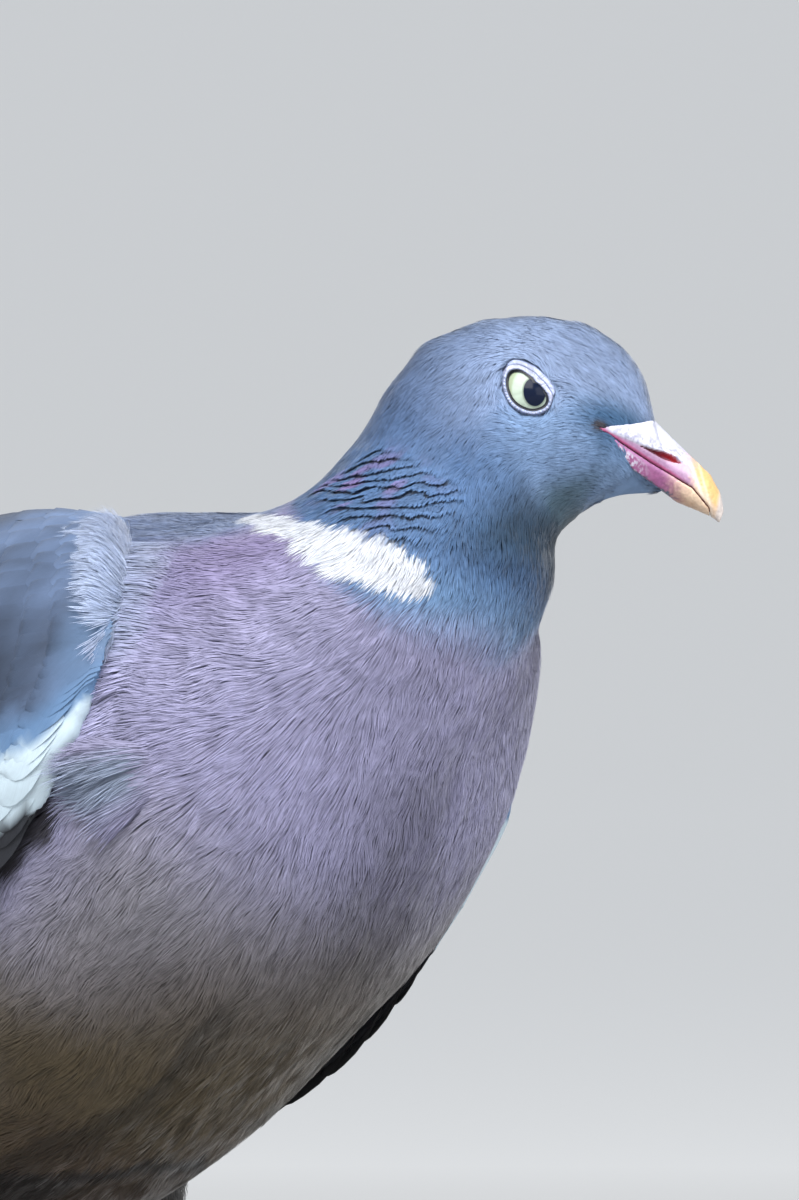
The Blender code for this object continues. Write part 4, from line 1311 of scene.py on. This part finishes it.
def build_lids(surface, side_name, material):
    """Two pale rolls over the eye and a row of fine beads under it, round a black rim."""
    side = SIDES[side_name]
    turns = np.linspace(-math.pi, math.pi, 421)[:-1]
    angle, out = np.meshgrid(turns, np.arange(-0.5, 2.6, 0.07), indexing="xy")
    radius = opening_radius(angle) + out
    x = EYE_PLACE[0] + OPENING_CENTRE[0] + radius * np.cos(angle)
    z = EYE_PLACE[2] + OPENING_CENTRE[1] + radius * np.sin(angle)
    ball = ball_y(x, z)
    coat = surface.y(x, z, side)
    for _ in range(4):
        coat = (np.roll(coat, 1, 1) + 2 * coat + np.roll(coat, -1, 1)) / 4
    outer = np.maximum(coat - 0.55, ball + 0.05)
    share = step(-0.3, 0.25, out)
    base = ball * (1 - share) + outer * share + 0.04
    upper = upper_share(angle, -38, 158, 26)
    outer_roll = upper_share(angle, -22, 132, 34)
    arc = np.cumsum(np.full(angle.shape, math.tau / angle.shape[1]), axis=1) * 4.1
    bead = 0.5 + 0.5 * np.cos(arc * math.tau / 0.62)
    wrinkle = 1 + 0.20 * noise(np.stack([arc * 3.4, out * 1.1, side + 0 * out], -1), 0.8)
    wrinkle = wrinkle + 0.12 * noise(np.stack([arc, out, side + 0 * out], -1), 0.9, 3.0)
    inner, second = roll(out, 0.50, 0.50), roll(out, 1.44, 0.42)
    height = 0.45 * upper * wrinkle * inner
    height = height + 0.40 * outer_roll * wrinkle * second
    height = height + (1 - upper) * 0.32 * roll(out, 0.27, 0.24) * (0.2 + 0.8 * bead)
    sink = step(lid_margin(angle) - 0.1, lid_margin(angle) + 0.5, out)
    y = base + height - 1.2 * sink
    pale = np.maximum(upper * step(0.25, 0.75, inner), 0.75 * outer_roll * step(0.25, 0.8, second))
    pale = np.maximum(pale, (1 - upper) * roll(out, 0.27, 0.25) * (0.15 + 0.85 * bead))
    colour = mix(LID_GREY, LID_WHITE, pale) * wrinkle[..., None]
    # Painted shade in the groove between the upper lid's two rolls.
    colour = mix(colour, (0.07, 0.08, 0.13), upper * hump(out, 1.0, 0.07))
    colour = mix(colour, LID_BLACK, step(0.06, -0.04, out))
    points = with_head(np.stack([x, side * y, z], -1))
    bake = np.stack([0.5 + radius * np.cos(angle) / 20, 0.5 + radius * np.sin(angle) / 20], -1)
    make_piece("eyelids_" + side_name, points, grid_faces(*out.shape, True), material, colour, bake)


def eye_material():
    """A wet, glassy eye."""
    n = Nodes("wet_eye")
    n.set(Base_Color=n.plumage(), Roughness=0.2)
    n.set(Specular_IOR_Level=0.06, Coat_Weight=0.06, Coat_Roughness=0.03)
    return n.material


def bare_material(name, roughness, scale, depth):
    """Bare skin or horn: its own colour, faintly mottled, with fine relief."""
    n = Nodes(name)
    n.set(Base_Color=n.tint(n.plumage(), n.ramp(n.noise(scale * 0.6, 4.0), 0.3, 0.7, 0.9, 1.1)))
    n.set(Roughness=n.ramp(n.noise(scale, 3.0), 0.3, 0.7, roughness - 0.08, roughness + 0.08))
    n.set(Specular_IOR_Level=0.45, Normal=n.bump(n.noise(scale, 4.0), depth))
    return n.material


# ---- bill

CERE_WHITE = (0.55, 0.56, 0.68)
CERE_GREY = (0.27, 0.27, 0.38)
BILL_PINK = (0.30, 0.165, 0.29)
BILL_MAGENTA = (0.27, 0.085, 0.21)
BILL_CREAM = (0.70, 0.52, 0.38)
BILL_AMBER = (0.70, 0.42, 0.17)
BILL_BROWN = (0.45, 0.24, 0.13)
NOSTRIL_RED = (0.13, 0.006, 0.018)
NAIL = (0.62, 0.55, 0.52)
MOUTH_RED = (0.16, 0.02, 0.05)
NOSTRIL = ((98.0, 199.9), (105.2, 196.9))
GAPE_LINE = ((89.5, 203.6), (92.3, 202.1), (99.8, 197.2), (107.3, 192.7), (110.3, 189.2), (112.0, 186.0))


def nostril_at(x, z):
    """Along the nostril from 0 behind to 1 in front, and how far above its middle in half widths."""
    a, b = np.array(NOSTRIL)
    length = np.linalg.norm(b - a)
    way = (b - a) / length
    t = ((x - a[0]) * way[0] + (z - a[1]) * way[1]) / length
    up = -(x - a[0]) * way[1] + (z - a[1]) * way[0]
    half = 0.10 + 0.44 * np.sin(math.pi * np.clip(t, 0, 1) ** 1.45) ** 1.2
    return t, up, up / half


def above_gape(x, z):
    """How far above the closed edge of the bill points lie."""
    edge = np.array(GAPE_LINE)
    return z - np.interp(x, edge[:, 0], edge[:, 1])


def upper_bill_colour(x, z, speck):
    """White powdery cere, pink under the nostril, then cream and amber to the pale nail."""
    _, up, _ = nostril_at(x, z)
    height = above_gape(x, z)
    pink = mix(BILL_PINK, (0.52, 0.38, 0.52), step(0.9, 2.2, height))
    colour = mix(pink, (0.36, 0.07, 0.18), step(0.75, 0.2, height) * step(107, 103, x))
    cere = step(-0.05, 0.35, up) * step(107.8, 105.0, x + 0.5 * speck) * step(91.6, 93.4, x + 0.3 * height)
    colour = mix(colour, CERE_WHITE, cere)
    dusty = cere * step(3.6, 0.6, up) * step(-0.1, 0.45, speck) * step(91, 95, x)
    colour = mix(colour, CERE_GREY, 0.8 * dusty)
    horn = mix(BILL_CREAM, BILL_AMBER, step(0.8, 2.6, height + 0.3 * speck))
    # Painted highlights: pale diagonal bands on the horn's facets.
    facet_highlight = hump((x - 107.4) + 0.55 * height, 1.7, 0.5) + 0.6 * hump((x - 109.5) + 0.4 * height, 1.0, 0.35)
    horn = mix(horn, (0.80, 0.70, 0.62), np.clip(facet_highlight, 0, 1) * 0.75)
    colour = mix(colour, horn, step(105.8, 108.8, x + 0.35 * speck))
    return mix(colour, NAIL, step(111.3, 112.2, x + 0.2 * (190 - z)))


def lower_bill_colour(x, z, speck):
    """Magenta behind, flaked with white near the feathers, passing to cream with a brown edge."""
    height = above_gape(x, z)
    colour = mix(BILL_MAGENTA, (0.37, 0.16, 0.33), step(-1.6, -0.4, height) * 0.8)
    flake = step(0.05, 0.45, speck) * step(100.5, 95.0, x) * step(-0.5, -1.3, height)
    colour = mix(colour, (0.55, 0.55, 0.66), flake)
    horn = mix(BILL_CREAM, BILL_BROWN, 0.6 * step(-1.6, -4.4, height + 0.3 * speck))
    colour = mix(colour, horn, step(101.5, 107.0, x + 0.4 * speck))
    chin = step(-3.3, -3.8, height + 0.3 * speck) * step(104.4, 103.0, x + 0.5 * speck)
    return mix(colour, CHIN_SHADED, chin)


def build_bill(material):
    """Both halves of the bill in fine mesh, with the swollen cere and the slit nostrils."""
    for node, paint in (("bill_upper", upper_bill_colour), ("bill_lower", lower_bill_colour)):
        points, quads, normals = grown_together((node,), 0.10, 0.24, 7)
        place, turn = straight(points)
        normal = turned(normals, -turn, 0.0)
        x, y, z = place.T
        speck = noise(place, 0.42) + 0.5 * noise(place, 0.2)
        if node == "bill_upper":
            t, up, share = nostril_at(x, z)
            outward = step(0.05, 0.6, np.abs(normal[:, 1]))
            slit = step(1.0, 0.45, np.abs(share)) * step(-0.03, 0.05, t) * step(1.03, 0.95, t)
            swell = step(0.0, 0.5, up) * step(4.6, 1.6, up) * step(91, 95, x) * step(106.5, 103.5, x)
            flap = hump(up, 0.45, 0.4) * step(0.0, 0.3, t) * step(1.1, 0.8, t)
            place = place + normal * (outward * (0.32 * swell + 0.22 * flap - 0.7 * slit))[:, None]
        place = place + normal * (0.035 * speck)[:, None]
        colour = paint(x, z, speck)
        if node == "bill_upper":
            wet = mix(NOSTRIL_RED, (0.33, 0.01, 0.02), step(0.3, 0.9, t))
            hole = step(1.25, 0.75, np.abs(share)) * outward * step(-0.03, 0.04, t) * step(1.03, 0.97, t)
            colour = mix(colour, wet, hole)
        bake = np.stack([(x - 85) / 30, (z - 184) / 24 * 0.45 + (y > 0) * 0.5], 1)
        piece = make_piece(node + "_horn", turned(place, turn), quads, material, colour, bake)
        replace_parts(piece, node)
    points, quads, normals = grown_together(("bill_upper", "bill_lower"), 0.25, 0.45, 3)
    bake = np.stack([points[:, 0] / 100, points[:, 2] / 300], 1)
    make_piece("mouth", points - normals * 0.75, quads, material, MOUTH_RED, bake)


# ---- legs and claws

LEG_PINK = (0.52, 0.13, 0.14)
# Painted shade: the legs' pink, darker, for the skin that faces down.
LEG_UNDERSIDE_SHADE = (0.33, 0.09, 0.10)


def leg_material():
    """Scaled pink-red skin: small raised plates, with painted shade in the creases between them and
    painted light on their middles.
    """
    n = Nodes("scaled_legs")
    plates = n.add("TexVoronoi", Scale=620.0)
    n.put(plates.inputs["Vector"], n.add("TexCoord").outputs["Object"])
    edge = n.ramp(plates.outputs["Distance"], 0.25, 0.75, 1.0, 0.0)
    # Painted shade and light: darker at each plate's border, lighter at its middle.
    n.set(Base_Color=n.tint(n.plumage(), n.ramp(edge, 0, 1, 0.72, 1.12)), Roughness=0.45)
    n.set(Specular_IOR_Level=0.4, Normal=n.bump(edge, 0.25))
    return n.material


def build_legs(material):
    """Shanks and toes with their cross plates."""
    nodes = [kind + side for kind in ("shank_", "foot_") for side in SIDES]
    points, quads, normals = grown_together(nodes, 0.22, 0.5, 3)
    plates = np.sin(noise(points, 9.0) * 0.8 + (points[:, 0] * 0.9 + points[:, 2] * 0.9) * math.tau / 2.0)
    upward = step(-0.2, 0.4, normals[:, 2] + 0.8 * normals[:, 0])
    points = points - normals * (0.2 - 0.10 * plates * upward)[:, None]
    points[:, 2] = np.maximum(points[:, 2], 6.02)
    # Painted shade where the skin faces down, and painted highlight on the raised plates that face up.
    colour = mix(LEG_PINK, LEG_UNDERSIDE_SHADE, step(0.2, -0.8, normals[:, 2]))
    colour = colour * (1 + 0.10 * plates * upward)[:, None]
    bake = np.stack([(points[:, 0] + 60) / 80, (points[:, 1] + 40) / 80], 1)
    legs = make_piece("leg_skin", points, quads, material, colour, bake)
    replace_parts(legs, *nodes)


def finish_claws():
    """Dark horn claws, streaked paler."""
    n = Nodes("claw_horn")
    streak = n.noise(900, 3.0)
    mixed = n.add("Mix", data_type="RGBA", A=(0.035, 0.026, 0.024, 1), B=(0.10, 0.075, 0.065, 1))
    n.put(mixed.inputs[0], streak)
    n.set(Base_Color=mixed.outputs[2], Roughness=0.32, Normal=n.bump(streak, 0.04))
    for name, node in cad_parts.items():
        if name.startswith("claw_"):
            for index in range(len(node.material_slots)):
                node.material_slots[index].material = n.material


# ---- stage

AIM = np.array((30.84, 27.77, 172.8))
CAMERA_AZIMUTH = math.radians(42)
CAMERA_DISTANCE = 3.0
FRAME_HEIGHT = 0.2143
STAGE_SECTORS = 48


def add_camera():
    """A long lens level with the neck, looking at the bird's right cheek."""
    data = bpy.data.cameras.new("camera")
    data.lens = 36 * CAMERA_DISTANCE / FRAME_HEIGHT
    data.clip_end = 20
    camera = link("camera", data)
    back = Vector((math.sin(CAMERA_AZIMUTH), -math.cos(CAMERA_AZIMUTH), 0))
    camera.location = Vector((AIM + SHIFT) * MM) + back * CAMERA_DISTANCE
    camera.rotation_euler = (-back).to_track_quat("-Z", "Y").to_euler()
    bpy.context.scene.camera = camera


def add_light(name, place, aim, size, power, colour):
    """A square soft light."""
    data = bpy.data.lights.new(name, "AREA")
    data.size = size
    data.energy = power
    data.color = colour
    light = link(name, data)
    light.location = place
    light.rotation_euler = (Vector(aim) - Vector(place)).to_track_quat("-Z", "Y").to_euler()


def add_stage():
    """A pale sweep: the floor, curving up to a wall behind the bird on every side but overhead. It glows
    more the farther it lies, lighting the bird from the sides.
    """
    n = Nodes("stage_pale_glowing")
    n.set(Base_Color=(0.38, 0.38, 0.375, 1), Roughness=0.85, Specular_IOR_Level=0.2)
    far = n.add("VectorMath", operation="LENGTH")
    n.put(far.inputs[0], n.add("TexCoord").outputs["Object"])
    # The sweep's glow: painted light, none near the bird and stronger farther out.
    n.set(Emission_Color=(0.93, 0.96, 1.0, 1))
    n.set(Emission_Strength=n.ramp(far.outputs["Value"], 0.4, 1.9, 0.0, 0.44))
    rings = [(radius, 0.0) for radius in (0.0, 0.4, 0.8, 1.6, 3.0, 5.0, 7.5, 10.0)]
    rings += [(10 + 5 * math.sin(a), 5 - 5 * math.cos(a)) for a in np.linspace(0.1, 1.57, 14)]
    rings += [(15.0, 12.0)]
    points = []
    for radius, height in rings:
        for k in range(STAGE_SECTORS):
            angle = k * math.tau / STAGE_SECTORS
            points.append((radius * math.cos(angle), radius * math.sin(angle), height))
    mesh = bpy.data.meshes.new("floor")
    quads = grid_faces(len(rings), STAGE_SECTORS, True)[:, [0, 3, 2, 1]]
    mesh.from_pydata(points, [], quads.tolist())
    mesh.shade_smooth()
    mesh.materials.append(n.material)
    link("floor", mesh)


def add_lights():
    """A broad soft light overhead and a weak fill, like a bright overcast sky."""
    world = bpy.data.worlds.new("studio")
    world.use_nodes = True
    sky = world.node_tree.nodes["Background"].inputs
    sky["Color"].default_value = (0.86, 0.93, 1.0, 1)
    sky["Strength"].default_value = 0.30
    bpy.context.scene.world = world
    add_light("overhead", (0.85, -1.10, 2.0), (0.1, 0, 0.15), 1.6, 102, (1.0, 0.98, 0.96))
    add_light("fill", (2.5, 0.1, 1.0), (0.1, 0, 0.15), 1.6, 30, (0.95, 0.97, 1.0))
    bpy.context.scene.view_settings.view_transform = "Standard"


# ---- the bird


def main():
    """Sets the stage and dresses the bird."""
    add_camera()
    add_stage()
    add_lights()
    coat = coat_material("coat_barbs", 0.25, 0.6)
    skin_cloth = coat_material("skin_under_coat", 0.0, 0.8)
    skin = Skin()
    colour = plumage(skin.at) * 0.92
    body = make_piece("skin", skin.inner, skin.quads, skin_cloth, colour, skin.at.uv())
    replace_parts(body, *Skin.FLESH)
    build_coat(skin, coat)
    vane = vane_material()
    for side_name in SIDES:
        feathers, sheet = build_wing(side_name, vane)
        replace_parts(feathers, "wing_" + side_name, "primaries_" + side_name)
        wing_bed(side_name, vane)
        wing_fringe(side_name, sheet, wing_front(side_name, sheet, vane), coat)
        if side_name == "right":
            side_tuft(side_name, sheet, skin, coat)
    build_tail(vane)
    wet, lid = eye_material(), bare_material("lid_skin", 0.5, 2600, 0.05)
    surface = HeadSurface(skin.points, skin.quads)
    for side_name in SIDES:
        build_eye(side_name, wet)
        build_lids(surface, side_name, lid)
    build_bill(bare_material("bill_horn", 0.36, 3000, 0.05))
    build_legs(leg_material())
    finish_claws()


main()
